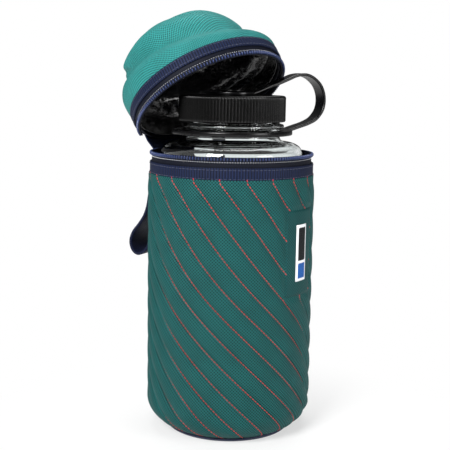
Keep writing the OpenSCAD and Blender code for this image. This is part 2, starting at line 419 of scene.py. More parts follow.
def rounded(points: Sequence[Sequence[float]], radius: float, steps: int = 4) -> Array:
    """Rounds the corners of a closed outline.

    Args:
        points: Its corners, in metres.
        radius: Radius of each corner.
        steps: Points on each corner.

    Returns:
        The rounded outline, with its first point repeated at the end.
    """
    p = np.asarray(points, float)
    out = []
    for i, here in enumerate(p):
        before, after = p[i - 1], p[(i + 1) % len(p)]
        reach = min(radius, np.linalg.norm(before - here) * 0.49, np.linalg.norm(after - here) * 0.49)
        start = here + (before - here) / np.linalg.norm(before - here) * reach
        end = here + (after - here) / np.linalg.norm(after - here) * reach
        for t in np.linspace(0, 1, steps):
            out.append((1 - t) ** 2 * start + 2 * t * (1 - t) * here + t**2 * end)
    out.append(out[0])
    return np.array(out)


def band_outline(r_in: float, r_out: float, low: float, high: float, soft: float) -> Array:
    """Closed outline of a ring with rounded edges, for lathe()."""
    return rounded([(r_in, low), (r_out, low), (r_out, high), (r_in, high)], soft)


def ribbon(name: str, middle: Array, across: Array, width: float, wall: float) -> bpy.types.Object:
    """Sweeps a flat strap with rounded edges along a line.

    Args:
        name: Its name.
        middle: Points along its middle line, in metres.
        across: One unit vector across the strap for each point.
        width: Its width.
        wall: Its thickness.

    Returns:
        The new object, closed at both ends.
    """
    along = unit(np.gradient(middle, axis=0))
    out = unit(np.cross(along, across))
    half, thick = width / 2, wall / 2
    flat = np.linspace(-1, 1, 13)
    top = [(x * (half - thick * 0.6), thick) for x in flat]
    under = [(x * (half - thick * 0.6), -thick) for x in flat[::-1]]
    lip = thick * 0.45
    section = np.array([*top, (half, lip), (half, -lip), *under, (-half, -lip), (-half, lip)])
    run = run_along(middle)
    points = middle[:, None] + across[:, None] * section[None, :, :1] + out[:, None] * section[None, :, 1:]
    uv = np.stack(np.broadcast_arrays(section[None, :, 0] / MM + 200, run[:, None] / MM), -1)
    rows, cols = points.shape[:2]
    faces = grid_faces(rows, cols, around=True, turned=True)
    faces.append(tuple(range(cols)))
    faces.append(tuple(range((rows - 1) * cols, rows * cols))[::-1])
    piece = new_piece(name, points.reshape(-1, 3), faces, uv.reshape(-1, 2))
    outward(piece)
    return piece


def outward(piece: bpy.types.Object) -> None:
    """Points a closed piece's faces outwards, from the sign of its volume."""
    mesh = piece.data
    mesh.calc_loop_triangles()
    co = np.array([v.co for v in mesh.vertices], float)
    tri = np.array([t.vertices[:] for t in mesh.loop_triangles])
    a, b, c = co[tri[:, 0]], co[tri[:, 1]], co[tri[:, 2]]
    if np.einsum("ij,ij->i", a, np.cross(b, c)).sum() < 0:
        mesh.flip_normals()


# ---------------------------------------------------------------- repeats along a path


@dataclass(frozen=True)
class Bead:
    """A small capsule that is repeated along a path, in metres."""

    pitch: float
    length: float
    width: float
    height: float
    segments: int = 8
    rings: int = 5


# Pitch, length, width and height of the repeats that more than one piece has.
# The coil's core is a real cord, coloured near black as painted shade in the gaps between the teeth.
COIL_CORE_SHADE = Bead(1.0 * MM, 1.6 * MM, 1.0 * MM, 1.0 * MM)
COIL_STITCH = Bead(1.5 * MM, 0.55 * MM, 0.45 * MM, 0.5 * MM, 6, 4)
EDGE_STITCH = Bead(2.6 * MM, 2.2 * MM, 0.4 * MM, 0.3 * MM)


def add(tree: bpy.types.NodeTree, kind: str, links: dict | None = None, **settings: object) -> bpy.types.Node:
    """Adds a node with its settings and links.

    Args:
        tree: Tree that gets the node.
        kind: The node's type name.
        links: Input names or numbers, each with a socket to link or a value to set.
        **settings: The node's own properties.

    Returns:
        The new node.
    """
    node = tree.nodes.new(kind)
    for name, value in settings.items():
        setattr(node, name, value)
    for key, source in (links or {}).items():
        if isinstance(source, bpy.types.NodeSocket):
            tree.links.new(source, node.inputs[key])
        else:
            node.inputs[key].default_value = source
    return node


def bead_tree() -> tuple[bpy.types.NodeTree, dict[str, str]]:
    """Builds the tree that sets capsules along a path.

    Returns:
        The tree, and each input's socket identifier by name.
    """
    tree = bpy.data.node_groups.new("beads_along_a_path", "GeometryNodeTree")
    face = tree.interface
    face.new_socket("Geometry", in_out="INPUT", socket_type="NodeSocketGeometry")
    face.new_socket("Geometry", in_out="OUTPUT", socket_type="NodeSocketGeometry")
    known = {}
    for name, kind in (
        ("Pitch", "NodeSocketFloat"),
        ("Size", "NodeSocketVector"),
        ("Segments", "NodeSocketInt"),
        ("Rings", "NodeSocketInt"),
        ("Finish", "NodeSocketMaterial"),
    ):
        known[name] = face.new_socket(name, in_out="INPUT", socket_type=kind).identifier
    start = add(tree, "NodeGroupInput")
    line = add(tree, "GeometryNodeMeshToCurve", {"Mesh": start.outputs["Geometry"]})
    even = add(
        tree,
        "GeometryNodeResampleCurve",
        {"Curve": line.outputs[0], "Length": start.outputs["Pitch"]},
        mode="LENGTH",
    )
    tangent = add(tree, "GeometryNodeInputTangent")
    out = add(tree, "GeometryNodeInputNamedAttribute", {"Name": "out"}, data_type="FLOAT_VECTOR")
    lie = add(tree, "FunctionNodeAlignRotationToVector", {"Vector": tangent.outputs[0]}, axis="X")
    face_out = add(
        tree,
        "FunctionNodeAlignRotationToVector",
        {"Rotation": lie.outputs[0], "Vector": out.outputs["Attribute"]},
        axis="Z",
        pivot_axis="X",
    )
    ball = add(
        tree,
        "GeometryNodeMeshUVSphere",
        {"Segments": start.outputs["Segments"], "Rings": start.outputs["Rings"], "Radius": 0.5},
    )
    set_out = add(
        tree,
        "GeometryNodeInstanceOnPoints",
        {
            "Points": even.outputs[0],
            "Instance": ball.outputs["Mesh"],
            "Rotation": face_out.outputs[0],
            "Scale": start.outputs["Size"],
        },
    )
    real = add(tree, "GeometryNodeRealizeInstances", {"Geometry": set_out.outputs[0]})
    soft = add(tree, "GeometryNodeSetShadeSmooth", {0: real.outputs[0]})
    worn = {"Geometry": soft.outputs[0], "Material": start.outputs["Finish"]}
    dressed = add(tree, "GeometryNodeSetMaterial", worn)
    add(tree, "NodeGroupOutput", {0: dressed.outputs[0]})
    return tree, known


# The bead tree and its inputs, made when the first piece needs them.
BEADS: dict[str, object] = {}


def beads(
    name: str, paths: Sequence[tuple[Array, Array]], bead: Bead, finish: bpy.types.Material
) -> bpy.types.Object:
    """Sets capsules along some paths.

    Args:
        name: The new piece's name.
        paths: Pairs of points and outward directions, one row each.
        bead: The capsule and its pitch.
        finish: Its material.

    Returns:
        One plain mesh with every capsule.
    """
    if not BEADS:
        BEADS["tree"], BEADS["inputs"] = bead_tree()
    verts = np.vstack([p for p, _ in paths])
    edges, first = [], 0
    for points, _ in paths:
        edges += [(first + i, first + i + 1) for i in range(len(points) - 1)]
        first += len(points)
    mesh = bpy.data.meshes.new(name)
    mesh.from_pydata([tuple(v) for v in verts], edges, [])
    out = mesh.attributes.new("out", "FLOAT_VECTOR", "POINT")
    out.data.foreach_set("vector", np.vstack([n for _, n in paths]).astype(np.float32).ravel())
    piece = bpy.data.objects.new(name, mesh)
    bpy.context.scene.collection.objects.link(piece)
    modifier = piece.modifiers.new("beads", "NODES")
    modifier.node_group = BEADS["tree"]
    known = BEADS["inputs"]
    modifier[known["Pitch"]] = bead.pitch
    modifier[known["Size"]] = (bead.length, bead.width, bead.height)
    modifier[known["Segments"]] = bead.segments
    modifier[known["Rings"]] = bead.rings
    modifier[known["Finish"]] = finish
    return baked(piece)


# ---------------------------------------------------------------- finishes


def blank(name: str) -> tuple[bpy.types.Material, bpy.types.NodeTree, bpy.types.Node]:
    """Starts a material.

    Args:
        name: Its name.

    Returns:
        The material, its tree and its Principled shader.
    """
    material = bpy.data.materials.new(name)
    material.use_nodes = True
    return material, material.node_tree, material.node_tree.nodes["Principled BSDF"]


@dataclass(frozen=True)
class Weave:
    """Woven nylon or polyester: matt threads, real pinholes between them darkened with painted shade, a soft sheen
    at grazing light.
    """

    name: str
    thread: str
    # Colour of the gaps between the threads: painted shade.
    gap_shade: str
    pitch_mm: float
    depth_mm: float = 0.12
    hole: float = 0.42
    roughness: float = 0.62
    sheen: float = 0.25
    sheen_hex: str = "#9fd8d0"
    twill: bool = False

    def make(self) -> bpy.types.Material:
        """Builds the material on the piece's own cloth map.

        Returns:
            The material.
        """
        material, tree, shader = blank(self.name)
        cloth = add(tree, "ShaderNodeUVMap", uv_map="cloth_mm")
        parts = add(tree, "ShaderNodeSeparateXYZ", {0: cloth.outputs[0]})
        across, up = parts.outputs[0], parts.outputs[1]
        turn = TAU / self.pitch_mm
        if self.twill:
            lean = add(tree, "ShaderNodeMath", {0: up, 1: across}, operation="ADD")
            first = add(tree, "ShaderNodeMath", {0: lean.outputs[0], 1: turn}, operation="MULTIPLY")
            second = add(tree, "ShaderNodeMath", {0: across, 1: turn}, operation="MULTIPLY")
        else:
            first = add(tree, "ShaderNodeMath", {0: across, 1: turn}, operation="MULTIPLY")
            second = add(tree, "ShaderNodeMath", {0: up, 1: turn}, operation="MULTIPLY")
        wave_a = add(tree, "ShaderNodeMath", {0: first.outputs[0]}, operation="SINE")
        wave_b = add(tree, "ShaderNodeMath", {0: second.outputs[0]}, operation="SINE")
        both = {0: wave_a.outputs[0], 1: wave_b.outputs[0]}
        crossed = add(tree, "ShaderNodeMath", both, operation="MULTIPLY")
        mesh_of = wave_b if self.twill else crossed
        raised = add(
            tree,
            "ShaderNodeMapRange",
            {"Value": mesh_of.outputs[0], "From Min": -1.0, "From Max": -1.0 + 2 * self.hole},
            interpolation_type="SMOOTHSTEP",
        )
        place = add(tree, "ShaderNodeTexCoord")
        patchy = add(
            tree,
            "ShaderNodeTexNoise",
            {"Vector": place.outputs["Object"], "Scale": 1 / (14 * MM), "Detail": 3.0, "Roughness": 0.6},
        )
        shade = add(
            tree,
            "ShaderNodeMapRange",
            {"Value": patchy.outputs[0], "From Min": 0.3, "From Max": 0.7, "To Min": 0.9, "To Max": 1.1},
        )
        # Mixes the thread colour with painted shade in the gaps and valleys between the threads.
        colour = add(
            tree,
            "ShaderNodeMix",
            {"Factor": raised.outputs[0], 6: linear(self.gap_shade), 7: linear(self.thread)},
            data_type="RGBA",
        )
        varied = add(
            tree,
            "ShaderNodeHueSaturation",
            {"Color": colour.outputs[2], "Value": shade.outputs[0]},
        )
        bump = add(
            tree,
            "ShaderNodeBump",
            {"Height": raised.outputs[0], "Distance": self.depth_mm * MM, "Strength": 1.0},
        )
        tree.links.new(varied.outputs[0], shader.inputs["Base Color"])
        tree.links.new(bump.outputs[0], shader.inputs["Normal"])
        shader.inputs["Roughness"].default_value = self.roughness
        shader.inputs["Sheen Weight"].default_value = self.sheen
        shader.inputs["Sheen Roughness"].default_value = 0.5
        shader.inputs["Sheen Tint"].default_value = linear(self.sheen_hex)
        shader.inputs["Specular IOR Level"].default_value = 0.18
        return material


@dataclass(frozen=True)
class Moulded:
    """Moulded polypropylene or nylon: an even gloss broken by a faint grain from the mould."""

    name: str
    hex_colour: str
    roughness: float
    grain_mm: float = 0.6
    depth_mm: float = 0.01
    coat: float = 0.0
    specular: float = 0.5

    def make(self) -> bpy.types.Material:
        """Builds the material.

        Returns:
            The material.
        """
        material, tree, shader = blank(self.name)
        place = add(tree, "ShaderNodeTexCoord")
        grain = add(
            tree,
            "ShaderNodeTexNoise",
            {"Vector": place.outputs["Object"], "Scale": 1 / (self.grain_mm * MM), "Detail": 2.0},
        )
        wide = add(
            tree,
            "ShaderNodeTexNoise",
            {"Vector": place.outputs["Object"], "Scale": 1 / (9 * MM), "Detail": 2.0},
        )
        rough = add(
            tree,
            "ShaderNodeMapRange",
            {"Value": wide.outputs[0], "To Min": self.roughness * 0.85, "To Max": self.roughness * 1.2},
        )
        bump = add(
            tree,
            "ShaderNodeBump",
            {"Height": grain.outputs[0], "Distance": self.depth_mm * MM, "Strength": 1.0},
        )
        shader.inputs["Base Color"].default_value = linear(self.hex_colour)
        tree.links.new(rough.outputs[0], shader.inputs["Roughness"])
        tree.links.new(bump.outputs[0], shader.inputs["Normal"])
        shader.inputs["Coat Weight"].default_value = self.coat
        shader.inputs["Specular IOR Level"].default_value = self.specular
        return material


@dataclass(frozen=True)
class ClearPlastic:
    """Clear copolyester: see-through with bright edges where its wall turns."""

    name: str = "clear_copolyester"
    tint: str = "#f4f8f8"

    def make(self) -> bpy.types.Material:
        """Builds the material.

        Returns:
            The material.
        """
        material, tree, shader = blank(self.name)
        place = add(tree, "ShaderNodeTexCoord")
        flow = add(
            tree,
            "ShaderNodeTexNoise",
            {"Vector": place.outputs["Object"], "Scale": 1 / (22 * MM), "Detail": 1.0},
        )
        bump = add(tree, "ShaderNodeBump", {"Height": flow.outputs[0], "Distance": 0.4 * MM, "Strength": 0.5})
        tree.links.new(bump.outputs[0], shader.inputs["Normal"])
        shader.inputs["Base Color"].default_value = linear(self.tint)
        shader.inputs["Transmission Weight"].default_value = 1.0
        shader.inputs["Roughness"].default_value = 0.02
        shader.inputs["IOR"].default_value = 1.53
        return material


@dataclass(frozen=True)
class Foil:
    """Crinkled metallised film over foam: near black, with sharp white glints on its folds."""

    name: str = "crinkled_film"
    hex_colour: str = "#0c0c0e"

    def make(self) -> bpy.types.Material:
        """Builds the material.

        Returns:
            The material.
        """
        material, tree, shader = blank(self.name)
        place = add(tree, "ShaderNodeTexCoord")
        crease = add(
            tree,
            "ShaderNodeTexVoronoi",
            {"Vector": place.outputs["Object"], "Scale": 1 / (7 * MM)},
            feature="DISTANCE_TO_EDGE",
        )
        fine = add(
            tree,
            "ShaderNodeTexNoise",
            {"Vector": place.outputs["Object"], "Scale": 1 / (3 * MM), "Detail": 3.0},
        )
        both = add(tree, "ShaderNodeMath", {0: crease.outputs[0], 1: fine.outputs[0]}, operation="ADD")
        bump = add(tree, "ShaderNodeBump", {"Height": both.outputs[0], "Distance": 0.9 * MM, "Strength": 0.8})
        tree.links.new(bump.outputs[0], shader.inputs["Normal"])
        shader.inputs["Base Color"].default_value = linear(self.hex_colour)
        shader.inputs["Roughness"].default_value = 0.16
        shader.inputs["Coat Weight"].default_value = 0.6
        shader.inputs["Coat Roughness"].default_value = 0.08
        return material


@dataclass(frozen=True)
class FoamRubber:
    """Closed-cell foam: matt grey with fine pits."""

    name: str = "closed_cell_foam"
    hex_colour: str = "#8d8f90"

    def make(self) -> bpy.types.Material:
        """Builds the material.

        Returns:
            The material.
        """
        material, tree, shader = blank(self.name)
        place = add(tree, "ShaderNodeTexCoord")
        cells = add(
            tree,
            "ShaderNodeTexVoronoi",
            {"Vector": place.outputs["Object"], "Scale": 1 / (0.9 * MM)},
        )
        tone = add(
            tree,
            "ShaderNodeMix",
            {"Factor": cells.outputs[0], 6: linear(self.hex_colour), 7: linear("#77797a")},
            data_type="RGBA",
        )
        pits = {"Height": cells.outputs[0], "Distance": 0.15 * MM, "Strength": 1.0}
        bump = add(tree, "ShaderNodeBump", pits)
        tree.links.new(tone.outputs[2], shader.inputs["Base Color"])
        tree.links.new(bump.outputs[0], shader.inputs["Normal"])
        shader.inputs["Roughness"].default_value = 0.9
        return material


@dataclass(frozen=True)
class Thread:
    """Spun polyester thread: matt, with a tight twist."""

    name: str
    hex_colour: str

    def make(self) -> bpy.types.Material:
        """Builds the material.

        Returns:
            The material.
        """
        material, tree, shader = blank(self.name)
        place = add(tree, "ShaderNodeTexCoord")
        twist = add(
            tree,
            "ShaderNodeTexWave",
            {"Vector": place.outputs["Object"], "Scale": 1 / (2.4 * MM), "Distortion": 1.0},
        )
        ridge = {"Height": twist.outputs[1], "Distance": 0.05 * MM, "Strength": 0.6}
        bump = add(tree, "ShaderNodeBump", ridge)
        shader.inputs["Base Color"].default_value = linear(self.hex_colour)
        tree.links.new(bump.outputs[0], shader.inputs["Normal"])
        shader.inputs["Roughness"].default_value = 0.6
        shader.inputs["Sheen Weight"].default_value = 0.2
        return material


@dataclass(frozen=True)
class Finishes:
    """Every finish of the object, built once."""

    quilt: bpy.types.Material
    lid: bpy.types.Material
    patch: bpy.types.Material
    navy: bpy.types.Material
    webbing: bpy.types.Material
    tape: bpy.types.Material
    black_cloth: bpy.types.Material
    coil: bpy.types.Material
    core: bpy.types.Material
    thread_red: bpy.types.Material
    thread_navy: bpy.types.Material
    foil: bpy.types.Material
    foam: bpy.types.Material
    clear: bpy.types.Material
    cap: bpy.types.Material
    tether: bpy.types.Material
    slider: bpy.types.Material
    label_white: bpy.types.Material
    label_black: bpy.types.Material
    label_blue: bpy.types.Material

    @classmethod
    def build(cls) -> "Finishes":
        """Builds every finish."""
        return cls(
            # In each weave the second colour is painted shade for the gaps between the threads.
            quilt=Weave(
                "woven_polyester_teal", "#125554", "#021010", 1.9, 0.35, 0.7,
                sheen=0.05, sheen_hex="#6fb5ad",
            ).make(),
            lid=Weave(
                "woven_polyester_light_teal", "#2a8582", "#0a3636", 1.9, 0.35, 0.65,
                sheen=0.08, sheen_hex="#8fd0c8",
            ).make(),
            patch=Weave(
                "woven_polyester_patch", "#114f4f", "#021010", 1.9, 0.35, 0.7,
                sheen=0.05, sheen_hex="#6fb5ad",
            ).make(),
            navy=Weave(
                "twill_tape_navy", "#111c3a", "#060a1a", 1.7, 0.35, 0.5,
                sheen=0.03, sheen_hex="#7d88b8", twill=True,
            ).make(),
            webbing=Weave(
                "nylon_webbing_navy", "#101834", "#05070f", 1.7, 0.35, 0.55,
                sheen=0.03, sheen_hex="#7d88b8",
            ).make(),
            tape=Weave("zip_tape_navy", "#090d1b", "#03040a", 1.0, sheen=0.02, sheen_hex="#5c658c").make(),
            black_cloth=Weave(
                "woven_nylon_black", "#15161a", "#08080a", 1.0,
                sheen=0.1, sheen_hex="#707078",
            ).make(),
            coil=Moulded("nylon_coil_navy", "#2a3760", 0.26).make(),
            # The coil core's near-black colour is painted shade between the coil's teeth, on a real cord.
            core=Moulded("coil_core_shade_navy", "#050812", 0.5, specular=0.2).make(),
            thread_red=Thread("polyester_thread_red", "#c01a14").make(),
            thread_navy=Thread("polyester_thread_navy", "#1f2846").make(),
            foil=Foil().make(),
            foam=FoamRubber().make(),
            clear=ClearPlastic().make(),
            cap=Moulded("polypropylene_black", "#030303", 0.24, depth_mm=0.002, specular=0.3).make(),
            tether=Moulded("soft_polypropylene_black", "#040405", 0.26, specular=0.35).make(),
            slider=Moulded("enamelled_zinc_navy", "#1d2440", 0.3, coat=0.4).make(),
            label_white=Thread("woven_label_white", "#e9ebee").make(),
            label_black=Weave(
                "woven_label_black", "#101114", "#050506", 0.5,
                sheen=0.1, sheen_hex="#70757c",
            ).make(),
            label_blue=Weave(
                "woven_label_blue", "#1f5fae", "#123a70", 0.5,
                sheen=0.1, sheen_hex="#8fb4e8",
            ).make(),
        )


def dress(piece: bpy.types.Object, finish: bpy.types.Material) -> bpy.types.Object:
    """Gives a piece one finish all over."""
    piece.data.materials.clear()
    piece.data.materials.append(finish)
    return piece


def settle(piece: bpy.types.Object, body: str, slot: str, *nodes: str) -> bpy.types.Object:
    """Makes a finished piece ride on its body.

    Args:
        piece: The piece.
        body: The body's name.
        slot: The record's material slot; not used.
        *nodes: The construction nodes that it stands for.

    Returns:
        The same piece.
    """
    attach(piece, body)
    if nodes:
        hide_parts(*nodes)
    LOG.info("%s rides on %s", piece.name, body)
    return piece


# ---------------------------------------------------------------- pieces that lie on the sleeve

# The webbing loop's line: millimetres out from the sleeve, and down from its upper end.
LOOP_LINE = (
    (0, 0),
    (0, -10),
    (0.9, -17),
    (2, -22.5),
    (4.4, -28.5),
    (8.2, -34),
    (12.6, -39.5),
    (14.6, -45.5),
    (13.2, -51),
    (9.4, -53.6),
    (4.8, -52),
    (1.2, -47.5),
    (0, -42),
    (0, -32),
)


def frame_slot(node: str, otherwise: str) -> str:
    """Reads a node's material slot from the record, or takes another one."""
    for part in frame["record"].get("subparts", []):
        if part.get("node") == node:
            return part.get("material_slot", otherwise)
    return otherwise


def span_of(node: str) -> tuple[float, float]:
    """Reads the middle direction and half width of a node that lies along the round, in radians."""
    points = node_points(node)
    rough = math.atan2(points[:, 1].mean(), points[:, 0].mean())
    off = turn_gap(np.arctan2(points[:, 1], points[:, 0]), rough)
    return rough + (off.min() + off.max()) / 2, (off.max() - off.min()) / 2


def arc_sheet(
    name: str,
    node: str,
    wall: float,
    heights: tuple[float, float] | None = None,
    edge: float = 0.0,
    lift: float = 0.0,
) -> bpy.types.Object:
    """Lays a cloth rectangle on the round where a node is.

    Args:
        name: The piece's name.
        node: The node that it lies over.
        wall: Thickness of the cloth.
        heights: Its low and high edge, or None for the node's.
        edge: How far its sides stay inside the node's.
        lift: How far it stands out from the node.

    Returns:
        The new object, softened at its edges.
    """
    low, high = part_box(node)
    bottom, top = heights or (low.z, high.z)
    middle, half = span_of(node)
    points = node_points(node)
    radius = np.hypot(points[:, 0], points[:, 1]).max() + lift
    half -= edge / radius
    columns = max(8, int(2 * half * radius / (1.5 * MM)))
    rows = max(8, int((top - bottom) / (1.5 * MM)))
    turns = np.linspace(middle - half, middle + half, columns)
    angle, height = np.meshgrid(turns, np.linspace(bottom, top, rows))
    near = np.minimum(half - np.abs(angle - middle), 0.9 * MM / radius) * radius
    near = np.minimum(near, np.minimum(height - bottom, top - height))
    reach = radius - 0.25 * MM * (1 - smooth(0, 0.9 * MM, near))
    grid = polar(reach, angle, height)
    uv = np.stack([angle * radius / MM, height / MM], -1)
    return thicken(sheet_of(name, grid, uv), wall)


def flat_map(piece: bpy.types.Object) -> None:
    """Maps a piece's cloth flat from above."""
    mesh = piece.data
    layer = mesh.uv_layers.get("cloth_mm") or mesh.uv_layers.new(name="cloth_mm")
    for loop in mesh.loops:
        co = mesh.vertices[loop.vertex_index].co
        layer.data[loop.index].uv = (co.x / MM, co.y / MM)


def zip_half(name: str, sizes: Sizes, finish: Finishes, place: Place, body: str) -> None:
    """Builds one row of the coil with the sewing that holds it.

    Args:
        name: Which half, as the nodes name it.
        sizes: The frame's sizes.
        finish: Every finish.
        place: Whether it is on the lid.
        body: The body that it rides on.
    """
    node = f"{name}_zip_coil"
    r_in, r_out, low, high = sizes.ring(node, place)
    skip = sizes.hinge_gap(node, place)
    angle = sizes.hinge.azimuth + np.linspace(skip, TAU - skip, 360)
    out = polar(1.0, angle, 0.0)
    middle = out * (r_in + r_out) / 2 + UP * (low + high) / 2
    tooth = Bead(1.9 * MM, 0.85 * MM, high - low + 0.3 * MM, r_out - r_in + 0.2 * MM, 10, 7)
    coil = beads(f"{name}_coil_teeth", [(middle, out)], tooth, finish.coil)
    away = -1 if place is Place.UPRIGHT else 1
    edge = low if place is Place.UPRIGHT else high
    # The core shows between the teeth; its near-black colour is painted shade.
    core = out * (r_in + 0.35 * MM) + UP * (edge - away * 0.5 * MM)
    cord = beads(f"{name}_coil_core_shade", [(core, out)], COIL_CORE_SHADE, finish.core)
    sewing = out * (r_in + 0.1 * MM) + UP * (edge + away * 0.9 * MM)
    dots = beads(f"{name}_coil_sewing", [(sewing, out)], COIL_STITCH, finish.label_white)
    for piece in (coil, cord, dots):
        if place is Place.ON_LID:
            move_mesh(piece, sizes.hinge.opened())
    settle(coil, body, "zip_coil", node)
    settle(cord, body, "zip_coil")
    settle(dots, body, "zip_tape")


# ---------------------------------------------------------------- the sleeve


@dataclass
class Sleeve:
    """The quilted wall with its base, band, back panel, webbing loop and labels."""

    sizes: Sizes
    finish: Finishes
    lines: int = 20
    first_line: float = math.radians(-169.5)
    puff: float = 2.4 * MM
    columns: int = 14
    rows: int = 150
    stitch: Bead = Bead(2.2 * MM, 1.8 * MM, 0.62 * MM, 0.5 * MM)
    webbing_width: float = 22 * MM
    webbing_wall: float = 1.8 * MM
    patch_azimuth: float = field(init=False)
    patch_half: float = field(init=False)
    patch_low: float = field(init=False)
    patch_high: float = field(init=False)
    panel_azimuth: float = field(init=False)
    panel_half: float = field(init=False)
    panel_low: float = field(init=False)

    def __post_init__(self) -> None:
        """Reads where the label patch and the back panel lie."""
        low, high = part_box("label_patch")
        points = node_points("label_patch")
        angle = np.arctan2(points[:, 1], points[:, 0])
        self.patch_azimuth = float((angle.min() + angle.max()) / 2)
        self.patch_half = float((angle.max() - angle.min()) / 2)
        self.patch_low, self.patch_high = low.z, high.z
        self.panel_azimuth, self.panel_half = span_of("back_panel")
        self.panel_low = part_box("back_panel")[0].z

    def profile(self) -> Array:
        """The wall's outline from the band down to the base, as radius and height."""
        _, radius, low, high = self.sizes.ring("outer_shell")
        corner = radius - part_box("base_panel")[1].x + 3.2 * MM
        turn = np.linspace(0, math.pi / 2, 26)
        wall = np.linspace(high + 1.5 * MM, low + corner, self.rows)
        side = [(radius, z) for z in wall]
        bend = [
            (radius - corner + corner * math.cos(t), low + corner - corner * math.sin(t)) for t in turn[1:]
        ]
        return np.array(side + bend)

    def twist(self, height: Array) -> Array:
        """How far the quilting lines have turned at a height, in radians, from the band down."""
        _, radius, _, top = self.sizes.ring("outer_shell")
        steps = np.linspace(top, 0, 400)
        steepness = 0.96 + 0.34 * smooth(75 * MM, 130 * MM, steps)
        turned = np.concatenate([[0], np.cumsum(-np.diff(steps) / steepness[:-1])]) / radius
        return np.interp(-np.asarray(height), -steps, turned)

    def surface(self, angle: Array, radius: Array, height: Array, phase: Array) -> Array:
        """Radius of the quilted cloth.

        Args:
            angle: Direction around the sleeve, in radians.
            radius: Radius of the plain wall.
            height: Height above the base.
            phase: Place across a channel, from 0 at one line to 1 at the next.

        Returns:
            The radius with the channels and the slack of the cloth, plain under the patch and the panel.
        """
        _, _, _, top = self.sizes.ring("outer_shell")
        swell = np.abs(np.sin(np.pi * phase)) ** 0.62
        held = smooth(0, 9 * MM, top - height) * smooth(4 * MM, 16 * MM, height)
        near = np.abs(turn_gap(angle, self.patch_azimuth)) - self.patch_half
        off_patch = np.maximum(smooth(-0.02, 0.07, near), smooth(0, 4 * MM, height - self.patch_high))
        off_patch = np.maximum(off_patch, smooth(0, 4 * MM, self.patch_low - height))
        behind = np.abs(turn_gap(angle, self.panel_azimuth)) - self.panel_half
        off_panel = np.maximum(smooth(-0.01, 0.06, behind), smooth(0, 4 * MM, self.panel_low - height))
        free = off_patch * off_panel
        slack = soft_noise(11)(angle, height) * 0.35 * MM
        quilted = (swell - 0.62) * self.puff * (0.35 + 0.65 * held)
        return radius + quilted * free + slack * held * free - 0.25 * MM * (1 - free)

    def wall_points(self, angle: Array, outline: Array, phase: Array) -> Array:
        """Points of the quilted wall, bent in at the bottom edge along the outline."""
        radius = self.surface(angle, outline[..., 0], outline[..., 1], phase)
        return polar(radius, angle, outline[..., 1])

    def shell(self) -> bpy.types.Object:
        """The quilted wall, with its grid laid along the stitched lines."""
        outline = self.profile()
        cols = self.lines * self.columns
        start = self.first_line + np.linspace(0, TAU, cols, endpoint=False)
        phase = (np.arange(cols) / self.columns) % 1.0
        rows = outline[:, None, :].repeat(cols, 1)
        angle = start[None, :] + self.twist(outline[:, 1])[:, None]
        points = self.wall_points(angle, rows, phase[None, :].repeat(len(outline), 0))
        radius = outline[:, 0].max()
        run = run_along(outline)
        turned = (angle - angle.min()) * radius / MM
        uv = np.stack([turned, -run[:, None].repeat(cols, 1) / MM], -1)
        piece = self.grid_with_seam("quilted_wall", points, uv, TAU * radius / MM)
        thicken(piece, 1.2 * MM)
        dress(piece, self.finish.quilt)
        settle(piece, "sleeve", "quilted_fabric", "outer_shell")
        return piece

    @staticmethod
    def grid_with_seam(name: str, points: Array, uv: Array, turn: float) -> bpy.types.Object:
        """Closes a grid on itself and carries its pattern over the seam."""
        rows, cols = points.shape[:2]
        corners = []
        for i in range(rows - 1):
            for j in range(cols):
                k = (j + 1) % cols
                shift = turn if k == 0 else 0.0
                corners += [uv[i, j], uv[i + 1, j], uv[i + 1, k] + (shift, 0), uv[i, k] + (shift, 0)]
        faces = grid_faces(rows, cols, around=True, turned=True)
        piece = new_piece(name, points.reshape(-1, 3), faces, uv.reshape(-1, 2))
        layer = piece.data.uv_layers["cloth_mm"]
        layer.data.foreach_set("uv", np.array(corners, np.float32).ravel())
        return piece

    def stitches(self) -> bpy.types.Object:
        """The red stitches in the channels between the puffs."""
        outline = self.profile()
        radius = outline[:, 0].max()
        keep = outline[:, 0] > radius - 13 * MM
        outline = outline[keep]
        paths = []
        for k in range(self.lines):
            angle = self.first_line + k * TAU / self.lines + self.twist(outline[:, 1])
            flat = np.zeros(len(outline))
            points = self.wall_points(angle, outline, flat)
            out = polar(1.0, angle, 0.0)
            bend = (radius - outline[:, 0]) / (radius - outline[:, 0].min() + 1e-9)
            out[:, 2] = -bend
            out = unit(out)
            points += out * 0.16 * MM
            paths += self.split_at_patch(points, out, angle, outline[:, 1])
        piece = beads("quilting_stitches", paths, self.stitch, self.finish.thread_red)
        return settle(piece, "sleeve", "quilted_fabric")

    def split_at_patch(
        self, points: Array, out: Array, angle: Array, height: Array
    ) -> list[tuple[Array, Array]]:
        """Leaves out the stretches of a line that would cross the plain patch or the back panel.

        Args:
            points: The line's points.
            out: Outward direction at each point.
            angle: Direction of each point around the sleeve.
            height: Height of each point.

        Returns:
            The stretches that stay.
        """
        near = np.abs(turn_gap(angle, self.patch_azimuth)) < self.patch_half - 0.01
        inside = near & (height < self.patch_high) & (height > self.patch_low)
        behind = np.abs(turn_gap(angle, self.panel_azimuth)) < self.panel_half
        inside = inside | (behind & (height > self.panel_low))
        stretches, run = [], []
        for i, covered in enumerate(inside):
            if covered:
                if len(run) > 4:
                    stretches.append((points[run], out[run]))
                run = []
            else:
                run.append(i)
        if len(run) > 4:
            stretches.append((points[run], out[run]))
        return stretches

